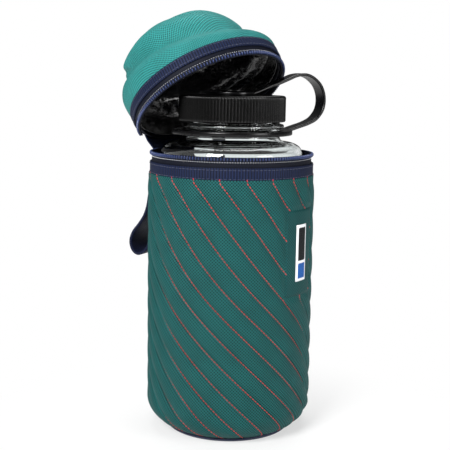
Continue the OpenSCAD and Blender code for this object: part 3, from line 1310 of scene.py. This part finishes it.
    def band(self) -> None:
        """The navy band round the rim, with a line of stitches along each edge."""
        r_in, r_out, low, high = self.sizes.ring("top_band")
        wave = soft_noise(5)
        piece = lathe(
            "top_band_cloth",
            band_outline(r_in, r_out + 0.25 * MM, low + 0.9 * MM, high - 2.6 * MM, 0.5 * MM),
            260,
            lambda a, row: wave(a, row * 2 * MM) * 0.18 * MM,
        )
        dress(piece, self.finish.navy)
        settle(piece, "sleeve", "navy_webbing", "top_band")
        self.ring_stitches("band_stitches_low", r_out + 0.3 * MM, low + 2.1 * MM)
        self.ring_stitches("band_stitches_high", r_out + 0.3 * MM, high - 3.8 * MM)

    def ring_stitches(self, name: str, radius: float, height: float) -> None:
        """A line of navy stitches once round the sleeve."""
        angle = np.linspace(0, TAU, 241)
        path = (polar(radius, angle, height), polar(1.0, angle, 0.0))
        piece = beads(name, [path], EDGE_STITCH, self.finish.thread_navy)
        settle(piece, "sleeve", "navy_webbing")

    def rim(self) -> None:
        """The zip's lower half: its tape, the bound edge inside, the coil and its sewing."""
        for node, soft, finish, slot in (
            ("lower_zip_tape", 0.2, self.finish.tape, "zip_tape"),
            ("rim_binding", 0.35, self.finish.tape, "piping"),
        ):
            r_in, r_out, low, high = self.sizes.ring(node)
            if node == "lower_zip_tape":
                r_out, low = r_out + 0.15 * MM, low - 4 * MM
            piece = lathe(f"{node}_cloth", band_outline(r_in, r_out, low, high, soft * MM), 220)
            dress(piece, finish)
            settle(piece, "sleeve", frame_slot(node, slot), node)
        zip_half("lower", self.sizes, self.finish, Place.UPRIGHT, "sleeve")

    def lining(self) -> None:
        """The crumpled film that lines the sleeve."""
        _, r_out, low, high = self.sizes.ring("foil_liner")
        wave = soft_noise(23, 14)
        corner = 9.5 * MM
        turn = np.linspace(0, math.pi / 2, 12)
        bend = [(r_out - corner + corner * math.sin(t), low + corner - corner * math.cos(t)) for t in turn]
        side = [(r_out, z) for z in np.linspace(low + corner, high, 90)[1:]]
        outline = np.array([(0.0, low), *bend, *side])[::-1]
        room = 0.45 * MM

        def crumple(angle: Array, row: Array) -> Array:
            """Pulls the film in from the foam, down to where the base begins."""
            return -0.5 * room * (1 + wave(5 * angle, row * 9 * MM)) * (row < 89)

        piece = lathe("sleeve_lining", outline, 200, crumple)
        thicken(piece, 0.12 * MM, 1.0)
        dress(piece, self.finish.foil)
        settle(piece, "sleeve", "foil", "foil_liner")

    def back(self) -> None:
        """The back panel and the webbing loop that is sewn to it."""
        panel = arc_sheet("back_panel_cloth", "back_panel", 0.5 * MM)
        dress(panel, self.finish.webbing)
        settle(panel, "sleeve", "navy_webbing", "back_panel")
        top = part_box("handle_strap")[1].z
        root = self.sizes.ring("outer_shell")[1] + 1.9 * MM
        line = through([(root + u * MM, top + z * MM) for u, z in LOOP_LINE], 130)
        azimuth = span_of("handle_tacks")[0]
        ahead = np.array([math.cos(azimuth), math.sin(azimuth), 0])
        side = np.array([-math.sin(azimuth), math.cos(azimuth), 0])
        middle = line[:, :1] * ahead + line[:, 1:] * UP
        across = np.repeat(side[None, :], len(middle), 0)
        loop = ribbon("webbing_loop", middle, across, self.webbing_width, self.webbing_wall)
        dress(loop, self.finish.webbing)
        settle(loop, "sleeve", "navy_webbing", "handle_strap")
        self.tacks(ahead, side, root, top)

    def tacks(self, ahead: Array, side: Array, root: float, top: float) -> None:
        """The dense rows of stitches that hold the webbing.

        Args:
            ahead: Unit vector out from the sleeve at the webbing.
            side: Unit vector across the webbing.
            root: Radius of the webbing's middle.
            top: Height of its upper end.
        """
        wide = np.linspace(-0.42, 0.42, 30)[:, None] * self.webbing_width
        face = (root + self.webbing_wall / 2 + 0.15 * MM) * ahead
        thread = Bead(1.5 * MM, 1.35 * MM, 0.5 * MM, 0.4 * MM)
        rows = []
        for height in (1.6, 3.4, 5.2, 7.0, 35.6, 37.4, 39.2):
            points = face + wide * side + np.array([0, 0, top - height * MM])
            rows.append((points, np.repeat(ahead[None, :], len(points), 0)))
        piece = beads("webbing_stitches", rows, thread, self.finish.thread_navy)
        settle(piece, "sleeve", "navy_webbing", "handle_tacks")
        tack = Bead(1.1 * MM, 1.3 * MM, 0.9 * MM, 0.6 * MM)
        red = beads("webbing_bartack", [rows[0]], tack, self.finish.thread_red)
        settle(red, "sleeve", "quilted_fabric")

    def labels(self) -> None:
        """The plain patch and the plain woven label on it."""
        patch = arc_sheet("plain_patch_cloth", "label_patch", 0.45 * MM, lift=-0.55 * MM)
        dress(patch, self.finish.patch)
        settle(patch, "sleeve", "label_patch", "label_patch")
        white = arc_sheet("label_ground", "woven_label", 0.4 * MM, lift=-0.5 * MM)
        dress(white, self.finish.label_white)
        settle(white, "sleeve", "label", "woven_label")
        low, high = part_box("woven_label")
        split = low.z + 0.34 * (high.z - low.z)
        edge = 0.9 * MM
        for name, bottom, top, finish in (
            ("label_upper_field", split, high.z - edge, self.finish.label_black),
            ("label_lower_field", low.z + edge, split, self.finish.label_blue),
        ):
            piece = arc_sheet(name, "woven_label", 0.2 * MM, (bottom, top), edge, -0.38 * MM)
            dress(piece, finish)
            settle(piece, "sleeve", "label")

    def base(self) -> None:
        """The base cloth and the piping round it."""
        low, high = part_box("base_panel")
        outline = rounded([(1e-6, low.z), (high.x, low.z), (high.x, high.z), (1e-6, high.z)], 0.3 * MM)
        outline[outline[:, 0] < 1e-4, 0] = 0
        piece = lathe("base_cloth", outline, 160)
        flat_map(piece)
        dress(piece, self.finish.black_cloth)
        settle(piece, "sleeve", "base_fabric", "base_panel")
        dress(frame["nodes"]["base_piping"], self.finish.thread_navy)

    def build(self) -> None:
        """Builds and dresses the whole sleeve."""
        self.shell()
        self.stitches()
        self.band()
        self.rim()
        self.lining()
        self.back()
        self.labels()
        self.base()
        for node in ("sleeve_foam", "base_foam"):
            dress(frame["nodes"][node], self.finish.foam)
        dress(frame["nodes"]["zip_end_stops"], self.finish.coil)


# ---------------------------------------------------------------- the lid


@dataclass
class Lid:
    """The soft domed lid, drawn closed and swung open, with its band, lining and zip half."""

    sizes: Sizes
    finish: Finishes
    columns: int = 240
    rows: int = 84
    lean: float = 4.5 * MM
    hinge_low: float = 157 * MM
    hinge_fold: float = 176 * MM
    hinge_high: float = 189.5 * MM
    line: tuple[tuple[float, float], ...] = (
        (51.0, 12.2),
        (51.2, 17.0),
        (50.2, 21.0),
        (46.8, 24.6),
        (42.2, 27.0),
        (40.6, 29.6),
        (40.2, 33.0),
        (39.9, 37.5),
        (38.0, 42.5),
        (32.5, 47.2),
        (25.0, 50.2),
        (15.0, 51.9),
        (6.0, 52.5),
        (0.0, 52.6),
    )

    def outline(self, inset: float) -> Array:
        """The dome's outline, from its rim to its top.

        Args:
            inset: How far inside the outer cloth it lies.

        Returns:
            Rows of radius and height.
        """
        plane = self.sizes.ring("lower_zip_coil")[3] + 0.5 * MM
        line = through([(r * MM, plane + z * MM) for r, z in self.line], self.rows)
        along = unit(np.gradient(line, axis=0))
        line = line - inset * np.column_stack([along[:, 1], -along[:, 0]])
        line[-1, 0] = 0
        line[:, 0] = np.maximum(line[:, 0], 0)
        return line

    def slack(self, angle: Array, rise: Array) -> Array:
        """How far the cloth stands out from the dome.

        Args:
            angle: Direction around the lid.
            rise: Place up the dome, from 0 at the rim to 1 at the top.

        Returns:
            The distance in metres, negative in a fold.
        """
        wave = soft_noise(31, 8)(angle, rise * 70 * MM)
        total = 0.7 * MM * wave * smooth(0.02, 0.2, rise) * smooth(1.0, 0.8, rise)
        left = np.maximum(-np.cos(angle), 0)
        total = total + 1.6 * MM * left * bell(rise, 0.2, 0.12) - 1.2 * MM * left * bell(rise, 0.55, 0.12)
        for direction, half, level, tilt, depth in (
            (-2.25, 0.36, 0.56, 0.10, 1.7),
            (-1.35, 0.40, 0.57, -0.06, 1.5),
            (-0.35, 0.25, 0.33, 0.05, 1.2),
            (-2.9, 0.3, 0.36, -0.08, 1.4),
            (0.9, 0.4, 0.5, 0.12, 1.3),
        ):
            off = turn_gap(angle, direction)
            window = np.exp(-((off / half) ** 2))
            where = level + tilt * off / half
            total = total - depth * MM * window * bell(rise, where, 0.032)
            total = total + 0.4 * depth * MM * window * bell(rise, where + 0.06, 0.05)
        return total

    def dome(self, name: str, inset: float, wall: float, crumple: float = 0.0) -> bpy.types.Object:
        """Builds one ply of the dome where it stands open.

        Args:
            name: The ply's name.
            inset: How far inside the outer cloth its outer face lies.
            wall: Its thickness.
            crumple: Height of its own crumples.

        Returns:
            The ply.
        """
        line = self.outline(inset)
        angle, row = np.meshgrid(np.linspace(0, TAU, self.columns, endpoint=False), np.arange(len(line)))
        rise = row / (len(line) - 1)
        out = self.slack(angle, rise)
        if crumple:
            folds = np.abs(soft_noise(47, 16)(4 * angle, rise * 400 * MM))
            out = out - crumple * folds * smooth(1.0, 0.9, rise)
        along = unit(np.gradient(line, axis=0))
        radius = np.maximum(line[row, 0] + out * along[row, 1], 0) * (row < len(line) - 1)
        height = line[row, 1] - out * along[row, 0] * (row < len(line) - 1)
        height = height - (1.6 + 4.4 * np.cos(angle)) * MM * bell(rise, 0.3, 0.22) * smooth(0.0, 0.12, rise)
        points = polar(radius, angle, height)
        run = run_along(line)
        left = (run[-1] - run)[row] / MM
        uv = np.stack([left * np.cos(angle) + 100, left * np.sin(angle) + 100], -1)
        rows, cols = points.shape[:2]
        faces = grid_faces(rows, cols, around=True)
        piece = new_piece(name, points.reshape(-1, 3), faces, uv.reshape(-1, 2))
        close_poles(piece)
        thicken(piece, wall)
        return self.swing(piece)

    def swing(self, piece: bpy.types.Object) -> bpy.types.Object:
        """Opens a closed piece of the lid and lets its crown lean."""
        move_mesh(piece, self.sizes.hinge.opened())
        low = self.sizes.ring("lid_band", Place.ON_LID)[3]
        co = np.zeros(len(piece.data.vertices) * 3, np.float64)
        piece.data.vertices.foreach_get("co", co)
        co = co.reshape(-1, 3)
        closed = self.sizes.hinge.closed(co)
        co[:, 0] -= self.lean * smooth(low, low + 34 * MM, closed[:, 2])
        piece.data.vertices.foreach_set("co", co.ravel())
        piece.data.update()
        return piece

    def band(self) -> None:
        """The navy band round the lid's rim, with its stitches."""
        r_in, r_out, low, high = self.sizes.ring("lid_band", Place.ON_LID)
        wave = soft_noise(77)
        piece = lathe(
            "lid_band_cloth",
            band_outline(r_in, r_out + 0.35 * MM, low + 2.3 * MM, high - 1.5 * MM, 0.5 * MM),
            260,
            lambda a, row: wave(a, row * 2 * MM) * 0.2 * MM,
        )
        dress(piece, self.finish.navy)
        settle(self.swing(piece), "lid", frame_slot("lid_band", "navy_webbing"), "lid_band")
        angle = np.linspace(0, TAU, 241)
        out = polar(1.0, angle, 0.0)
        heights = (low + 3.4 * MM, high - 2.6 * MM)
        paths = [(out * (r_out + 0.4 * MM) + np.array([0, 0, z]), out) for z in heights]
        thread = beads("lid_band_stitches", paths, EDGE_STITCH, self.finish.thread_navy)
        settle(self.swing(thread), "lid", frame_slot("lid_band", "navy_webbing"))

    def rim(self) -> None:
        """The zip's upper half and the bound edge inside the lid."""
        hinge = self.sizes.hinge
        r_in, r_out, low, high = self.sizes.ring("lid_binding", Place.ON_LID)
        piece = lathe("lid_binding_cloth", band_outline(r_in, r_out, low, high, 0.35 * MM), 220)
        dress(piece, self.finish.tape)
        settle(self.swing(piece), "lid", frame_slot("lid_binding", "piping"), "lid_binding")
        zip_half("upper", self.sizes, self.finish, Place.ON_LID, "lid")
        r_in, r_out, low, high = self.sizes.ring("upper_zip_tape", Place.ON_LID)
        skip = self.sizes.hinge_gap("upper_zip_tape", Place.ON_LID)
        r_out, high = r_out + 0.3 * MM, high + 4 * MM
        angle, height = np.meshgrid(
            hinge.azimuth + np.linspace(skip, TAU - skip, 220), np.linspace(low, high, 8)
        )
        grid = polar(r_out, angle, height)
        uv = np.stack([(angle - angle.min()) * r_out / MM, height / MM], -1)
        tape = thicken(sheet_of("upper_zip_tape_cloth", grid, uv), r_out - r_in)
        dress(tape, self.finish.tape)
        settle(self.swing(tape), "lid", frame_slot("upper_zip_tape", "zip_tape"), "upper_zip_tape")

    def hinge_cloth(self) -> None:
        """The cloth hinge, in two pieces that are drawn bent where the lid stands open."""
        hinge = self.sizes.hinge
        radius = self.sizes.ring("lid_band", Place.ON_LID)[1] + 1.0 * MM
        half = span_of("hinge_panel")[1] * 0.98
        cuts = (
            (self.hinge_low, self.hinge_fold, "sleeve", "hinge_flap"),
            (self.hinge_fold, self.hinge_high, "hinge_flap", "lid"),
        )
        for number, (low, high, first, second) in enumerate(cuts):
            angle, height = np.meshgrid(
                hinge.azimuth + np.linspace(-half, half, 40), np.linspace(low, high, 30)
            )
            share = smooth(163 * MM, 179 * MM, height) * hinge.opening
            closed = polar(radius, angle, height).reshape(-1, 3)
            opened = []
            for point, part in zip(closed, share.ravel()):
                turn = Matrix.Rotation(part, 3, hinge.axis)
                opened.append(turn @ (Vector(point) - hinge.low) + hinge.low)
            grid = np.array(opened).reshape(*angle.shape, 3)
            uv = np.stack([angle * radius / MM, height / MM], -1)
            piece = thicken(sheet_of(f"hinge_cloth_{number + 1}", grid, uv), 0.8 * MM)
            dress(piece, self.finish.navy)
            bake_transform(piece)
            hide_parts("hinge_panel")

    def build(self) -> None:
        """Builds and dresses the whole lid."""
        shell = self.dome("lid_cloth", 0.0, 0.9 * MM)
        dress(shell, self.finish.lid)
        settle(shell, "lid", "lid_fabric", "lid_shell")
        foam = self.dome("lid_padding", 1.0 * MM, 1.1 * MM)
        dress(foam, self.finish.foam)
        settle(foam, "lid", "foam", "lid_foam")
        lining = self.dome("lid_lining", 2.2 * MM, 0.3 * MM, 0.9 * MM)
        dress(lining, self.finish.foil)
        settle(lining, "lid", "foil", "lid_liner")
        self.inner_wall()
        self.band()
        self.rim()
        self.hinge_cloth()
        for node in ("slider_body", "zip_puller"):
            dress(frame["nodes"][node], self.finish.slider)

    def inner_wall(self) -> None:
        """The film that lines the lid's band, between its bound edge and the dome."""
        r_in, _, low, high = self.sizes.ring("lid_band", Place.ON_LID)
        angle, row = np.meshgrid(np.linspace(0, TAU, self.columns, endpoint=False), np.arange(24))
        height = low + 2 * MM + (high + 3 * MM - low) * row / 23
        crumple = np.abs(soft_noise(53, 16)(4 * angle, row * 9 * MM)) * 1.0 * MM
        radius = r_in - 2.4 * MM - crumple
        grid = polar(radius, angle, height)
        uv = np.stack([angle * 50, height / MM], -1)
        piece = thicken(sheet_of("lid_band_lining", grid, uv, around=True), 0.3 * MM)
        dress(piece, self.finish.foil)
        settle(self.swing(piece), "lid", "foil")


# ---------------------------------------------------------------- the bottle and its cap


@dataclass
class Bottle:
    """The clear bottle: one turned wall with a bead on its neck."""

    finish: Finishes
    wall: float = 2.0 * MM
    neck: float = 29.8 * MM
    corner: float = 10.5 * MM
    side_top: float = 172 * MM

    def outline(self) -> Array:
        """The wall's closed outline, up the outside and down the inside."""
        low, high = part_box("bottle")
        radius, base, lip = high.x, low.z, high.z
        turn = np.linspace(0, math.pi / 2, 14)
        corner, neck, wall = self.corner, self.neck, self.wall
        foot = [(radius - corner + corner * math.sin(t), base + corner * (1 - math.cos(t))) for t in turn]
        shoulder = through(
            [
                (radius, self.side_top),
                (radius - 0.3 * MM, 175.6 * MM),
                (radius - 2.2 * MM, 179 * MM),
                (radius - 6.3 * MM, 181.2 * MM),
                (33 * MM, 182.1 * MM),
                (neck + 0.7 * MM, 183.2 * MM),
                (neck, 185 * MM),
            ],
            26,
        )
        bead = through(
            [
                (neck, 190.0 * MM),
                (neck + 2.2 * MM, 190.7 * MM),
                (neck + 2.6 * MM, 191.7 * MM),
                (neck + 2.2 * MM, 192.6 * MM),
                (neck, 193.2 * MM),
            ],
            12,
        )
        outside = [(0.0, base + 1.4 * MM), (20 * MM, base + 1.1 * MM), (28 * MM, base + 0.2 * MM), *foot]
        outside += [(radius, z) for z in np.linspace(base + corner, self.side_top, 30)[1:-1]]
        outside += [*map(tuple, shoulder), *map(tuple, bead), (neck, lip - 0.6 * MM), (neck - 0.5 * MM, lip)]
        inner = radius - wall
        hollow = corner - wall
        bore = neck - wall
        inside = [(bore + 0.5 * MM, lip), (bore, lip - 0.6 * MM)]
        inside += [(bore, 184.6 * MM), (bore + 0.4 * MM, 182 * MM), (31 * MM, 180.3 * MM)]
        inside += [(radius - 7.2 * MM, 179.2 * MM), (radius - 3.6 * MM, 177.6 * MM), (inner, 173.5 * MM)]
        inside += [(inner, z) for z in np.linspace(base + corner, self.side_top, 20)[::-1]]
        inside += [
            (inner - hollow + hollow * math.cos(t), base + corner - hollow * math.sin(t)) for t in turn[1:]
        ]
        inside += [(27 * MM, base + wall + 0.3 * MM), (20 * MM, base + wall + 1.1 * MM)]
        inside.append((0.0, base + wall + 1.4 * MM))
        return np.array([*outside, *inside])

    def build(self) -> None:
        """Builds and dresses the bottle."""
        piece = lathe("bottle_wall", self.outline(), 160)
        dress(piece, self.finish.clear)
        settle(piece, "bottle", "bottle_clear", "bottle")


@dataclass
class Closure:
    """The ribbed cap, and the loop that ties it to the neck."""

    sizes: Sizes
    finish: Finishes
    ribs: int = 104
    rib_depth: float = 0.85 * MM
    azimuth: float = math.radians(29)
    roof: float = 210.3 * MM
    strap_width: float = 10.4 * MM
    strap_wall: float = 1.8 * MM
    line: tuple[tuple[float, float], ...] = (
        (26.4, 6.3),
        (31.5, 7.6),
        (37.9, 10.0),
        (44.9, 12.6),
        (51.9, 13.2),
        (58.1, 10.8),
        (63.3, 6.0),
        (65.9, -1.0),
        (65.1, -8.6),
        (60.5, -14.7),
        (54.1, -17.9),
        (45.9, -20.3),
        (37.9, -22.6),
    )

    def cap(self) -> None:
        """The cap with its ribs and its button."""
        low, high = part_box("cap")
        radius, roof = high.x, self.roof
        wall, stem, button = 1.9 * MM, 6 * MM, 8 * MM
        side = [(radius, z) for z in np.linspace(low.z + 0.5 * MM, roof - 1.2 * MM, 14)]
        edge = [
            (radius - 0.25 * MM, roof - 0.6 * MM),
            (radius - 0.8 * MM, roof - 0.15 * MM),
            (radius - 1.8 * MM, roof + 0.1 * MM),
        ]
        top = [(24 * MM, roof + 0.12 * MM), (stem + 0.6 * MM, roof)]
        top += [(stem, roof + 0.3 * MM), (stem, high.z - 1.3 * MM)]
        under = high.z - 1 * MM
        knob = rounded([(stem, under), (button, under), (button, high.z), (1 * MM, high.z)], 0.4 * MM)[4:-2]
        bore = radius - wall
        inner = [(bore, low.z), (bore, roof - 2.6 * MM), (bore - 0.5 * MM, roof - 2.1 * MM)]
        skirt = [*inner[::-1], (radius - 0.4 * MM, low.z), *side]
        outline = np.array([*skirt, *edge, *top, *map(tuple, knob), (0.0, high.z)])
        outline = np.vstack([[(0.0, roof - 2.1 * MM)], outline])
        ribbed = (outline[:, 0] > radius - 0.9 * MM) & (outline[:, 1] > low.z + 0.3 * MM)

        def rib(angle: Array, row: Array) -> Array:
            """Cuts the grooves between the ribs."""
            groove = 1 - np.abs(np.cos(angle * self.ribs / 2)) ** 0.7
            return -self.rib_depth * groove * ribbed[row]

        piece = lathe("ribbed_cap", outline, self.ribs * 8, rib)
        dress(piece, self.finish.cap)
        settle(piece, "cap", "cap_black", "cap")

    def tether(self) -> None:
        """The ring on the neck, the hub under the button and the strap between them."""
        r_in, r_out, low, high = self.sizes.ring("tether_ring")
        ring = lathe("neck_ring", band_outline(r_in, r_out, low, high, 0.8 * MM), 160)
        dress(ring, self.finish.tether)
        settle(ring, "tether", "tether_black", "tether_ring")
        roof = self.roof
        hub_low, hub_high, hub_in, hub_out = roof + 0.3 * MM, roof + 2.1 * MM, 6.3 * MM, 14 * MM
        hub = lathe("hub_disc", band_outline(hub_in, hub_out, hub_low, hub_high, 0.5 * MM), 120)
        dress(hub, self.finish.tether)
        settle(hub, "tether", "tether_black", "tether_hub")
        ahead = np.array([math.cos(self.azimuth), math.sin(self.azimuth), 0])
        side = np.array([-math.sin(self.azimuth), math.cos(self.azimuth), 0])
        pieces = (
            ("hub_arm", [(12.5, 1.1), (16, 2.1), (21, 4.0), (26.6, 6.35)], 40),
            ("loop_strap", self.line, 150),
        )
        for name, corners, count in pieces:
            line = through([(r * MM, roof + z * MM) for r, z in corners], count)
            middle = line[:, :1] * ahead + line[:, 1:] * UP
            across = np.repeat(side[None, :], count, 0)
            strap = ribbon(name, middle, across, self.strap_width, self.strap_wall)
            dress(strap, self.finish.tether)
            if name == "loop_strap":
                settle(strap, "tether", "tether_black", "tether_strap")
                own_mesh(strap)
            else:
                settle(strap, "tether", "tether_black")

    def build(self) -> None:
        """Builds and dresses the cap and its tether."""
        self.cap()
        self.tether()


# ---------------------------------------------------------------- the studio


@dataclass(frozen=True)
class Studio:
    """Soft light, a pale floor and the camera."""

    eye: Vector = Vector((0.0, -0.600, 0.22086))
    target: Vector = Vector((-0.00345, 0.0, 0.12856))
    roll: float = 0.015
    lens_mm: float = 76.55

    def world(self) -> None:
        """Lights the scene all round, and shows white behind the object and in its clear wall."""
        world = bpy.data.worlds.new("studio")
        bpy.context.scene.world = world
        world.use_nodes = True
        tree = world.node_tree
        tree.nodes.clear()
        seen = add(tree, "ShaderNodeLightPath")
        direct = add(
            tree,
            "ShaderNodeMath",
            {0: seen.outputs["Is Camera Ray"], 1: seen.outputs["Is Transmission Ray"]},
            operation="MAXIMUM",
        )
        levels = {"Value": seen.outputs["Is Glossy Ray"], "To Min": 0.24, "To Max": 0.1}
        lit = add(tree, "ShaderNodeMapRange", levels)
        soft = add(tree, "ShaderNodeBackground", {"Color": (1, 1, 1, 1), "Strength": lit.outputs[0]})
        white = add(tree, "ShaderNodeBackground", {"Color": (1, 1, 1, 1), "Strength": 1.0})
        shares = {0: direct.outputs[0], 1: soft.outputs[0], 2: white.outputs[0]}
        mix = add(tree, "ShaderNodeMixShader", shares)
        add(tree, "ShaderNodeOutputWorld", {0: mix.outputs[0]})

    def floor(self) -> None:
        """The pale floor, whiter to the eye than to the light."""
        material, tree, shader = blank("pale_floor")
        shader.inputs["Base Color"].default_value = (0.85, 0.85, 0.85, 1)
        shader.inputs["Roughness"].default_value = 0.9
        place = add(tree, "ShaderNodeTexCoord")
        away = add(tree, "ShaderNodeVectorMath", {0: place.outputs["Object"]}, operation="LENGTH")
        fade = add(
            tree,
            "ShaderNodeMapRange",
            {"Value": away.outputs["Value"], "From Min": 0.03, "From Max": 0.16, "To Min": 0.55},
            interpolation_type="SMOOTHSTEP",
        )
        seen = add(tree, "ShaderNodeLightPath")
        to_eye = {0: fade.outputs[0], 1: seen.outputs["Is Camera Ray"]}
        share = add(tree, "ShaderNodeMath", to_eye, operation="MULTIPLY")
        white = add(tree, "ShaderNodeEmission", {"Color": (1, 1, 1, 1), "Strength": 1.0})
        shares = {0: share.outputs[0], 1: shader.outputs[0], 2: white.outputs[0]}
        mix = add(tree, "ShaderNodeMixShader", shares)
        tree.links.new(mix.outputs[0], tree.nodes["Material Output"].inputs["Surface"])
        size = 6.0
        corners = [(-size, -size, 0), (size, -size, 0), (size, size, 0), (-size, size, 0)]
        piece = new_piece("floor", np.array(corners), [(0, 1, 2, 3)])
        piece.location.z = -0.0002
        dress(piece, material)

    def lamp(self, name: str, place: Vector, watts: float, size: float) -> None:
        """Hangs one soft lamp that points at the object.

        Args:
            name: Its name.
            place: Where it hangs.
            watts: Its power.
            size: Length of its side.
        """
        light = bpy.data.lights.new(name, "AREA")
        light.energy = watts
        light.size = size
        lamp = bpy.data.objects.new(name, light)
        lamp.location = place
        lamp.rotation_euler = (self.target - place).to_track_quat("-Z", "Y").to_euler()
        bpy.context.scene.collection.objects.link(lamp)

    def camera(self) -> None:
        """Sets the camera at its place with a slight roll."""
        data = bpy.data.cameras.new("camera")
        data.lens = self.lens_mm
        data.sensor_width = 36
        data.clip_start = 0.01
        camera = bpy.data.objects.new("camera", data)
        look = (self.target - self.eye).normalized()
        right = look.cross(Vector((0, 0, 1))).normalized()
        up = right.cross(look)
        turned = math.cos(self.roll) * right + math.sin(self.roll) * up
        above = -math.sin(self.roll) * right + math.cos(self.roll) * up
        axes = Matrix((turned, above, -look)).transposed()
        camera.matrix_world = Matrix.Translation(self.eye) @ axes.to_4x4()
        bpy.context.scene.collection.objects.link(camera)
        bpy.context.scene.camera = camera

    def build(self) -> None:
        """Sets up the light, the floor and the camera."""
        self.world()
        self.floor()
        self.lamp("key", Vector((-0.45, -0.8, 0.7)), 15.0, 0.4)
        self.lamp("fill", Vector((0.75, -0.5, 0.4)), 4.0, 0.4)
        self.lamp("top", Vector((0.0, 0.25, 0.95)), 5.0, 0.6)
        self.camera()
        view = bpy.context.scene.view_settings
        view.view_transform = "Standard"
        view.look = "None"


def main() -> None:
    """Builds every piece in order."""
    logging.basicConfig(level=logging.INFO, format="%(message)s")
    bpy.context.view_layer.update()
    sizes = Sizes()
    finish = Finishes.build()
    for part in (Sleeve(sizes, finish), Lid(sizes, finish), Bottle(finish), Closure(sizes, finish)):
        part.build()
        LOG.info("%s is built", type(part).__name__)
    Studio().build()


if __name__ == "__main__":
    main()
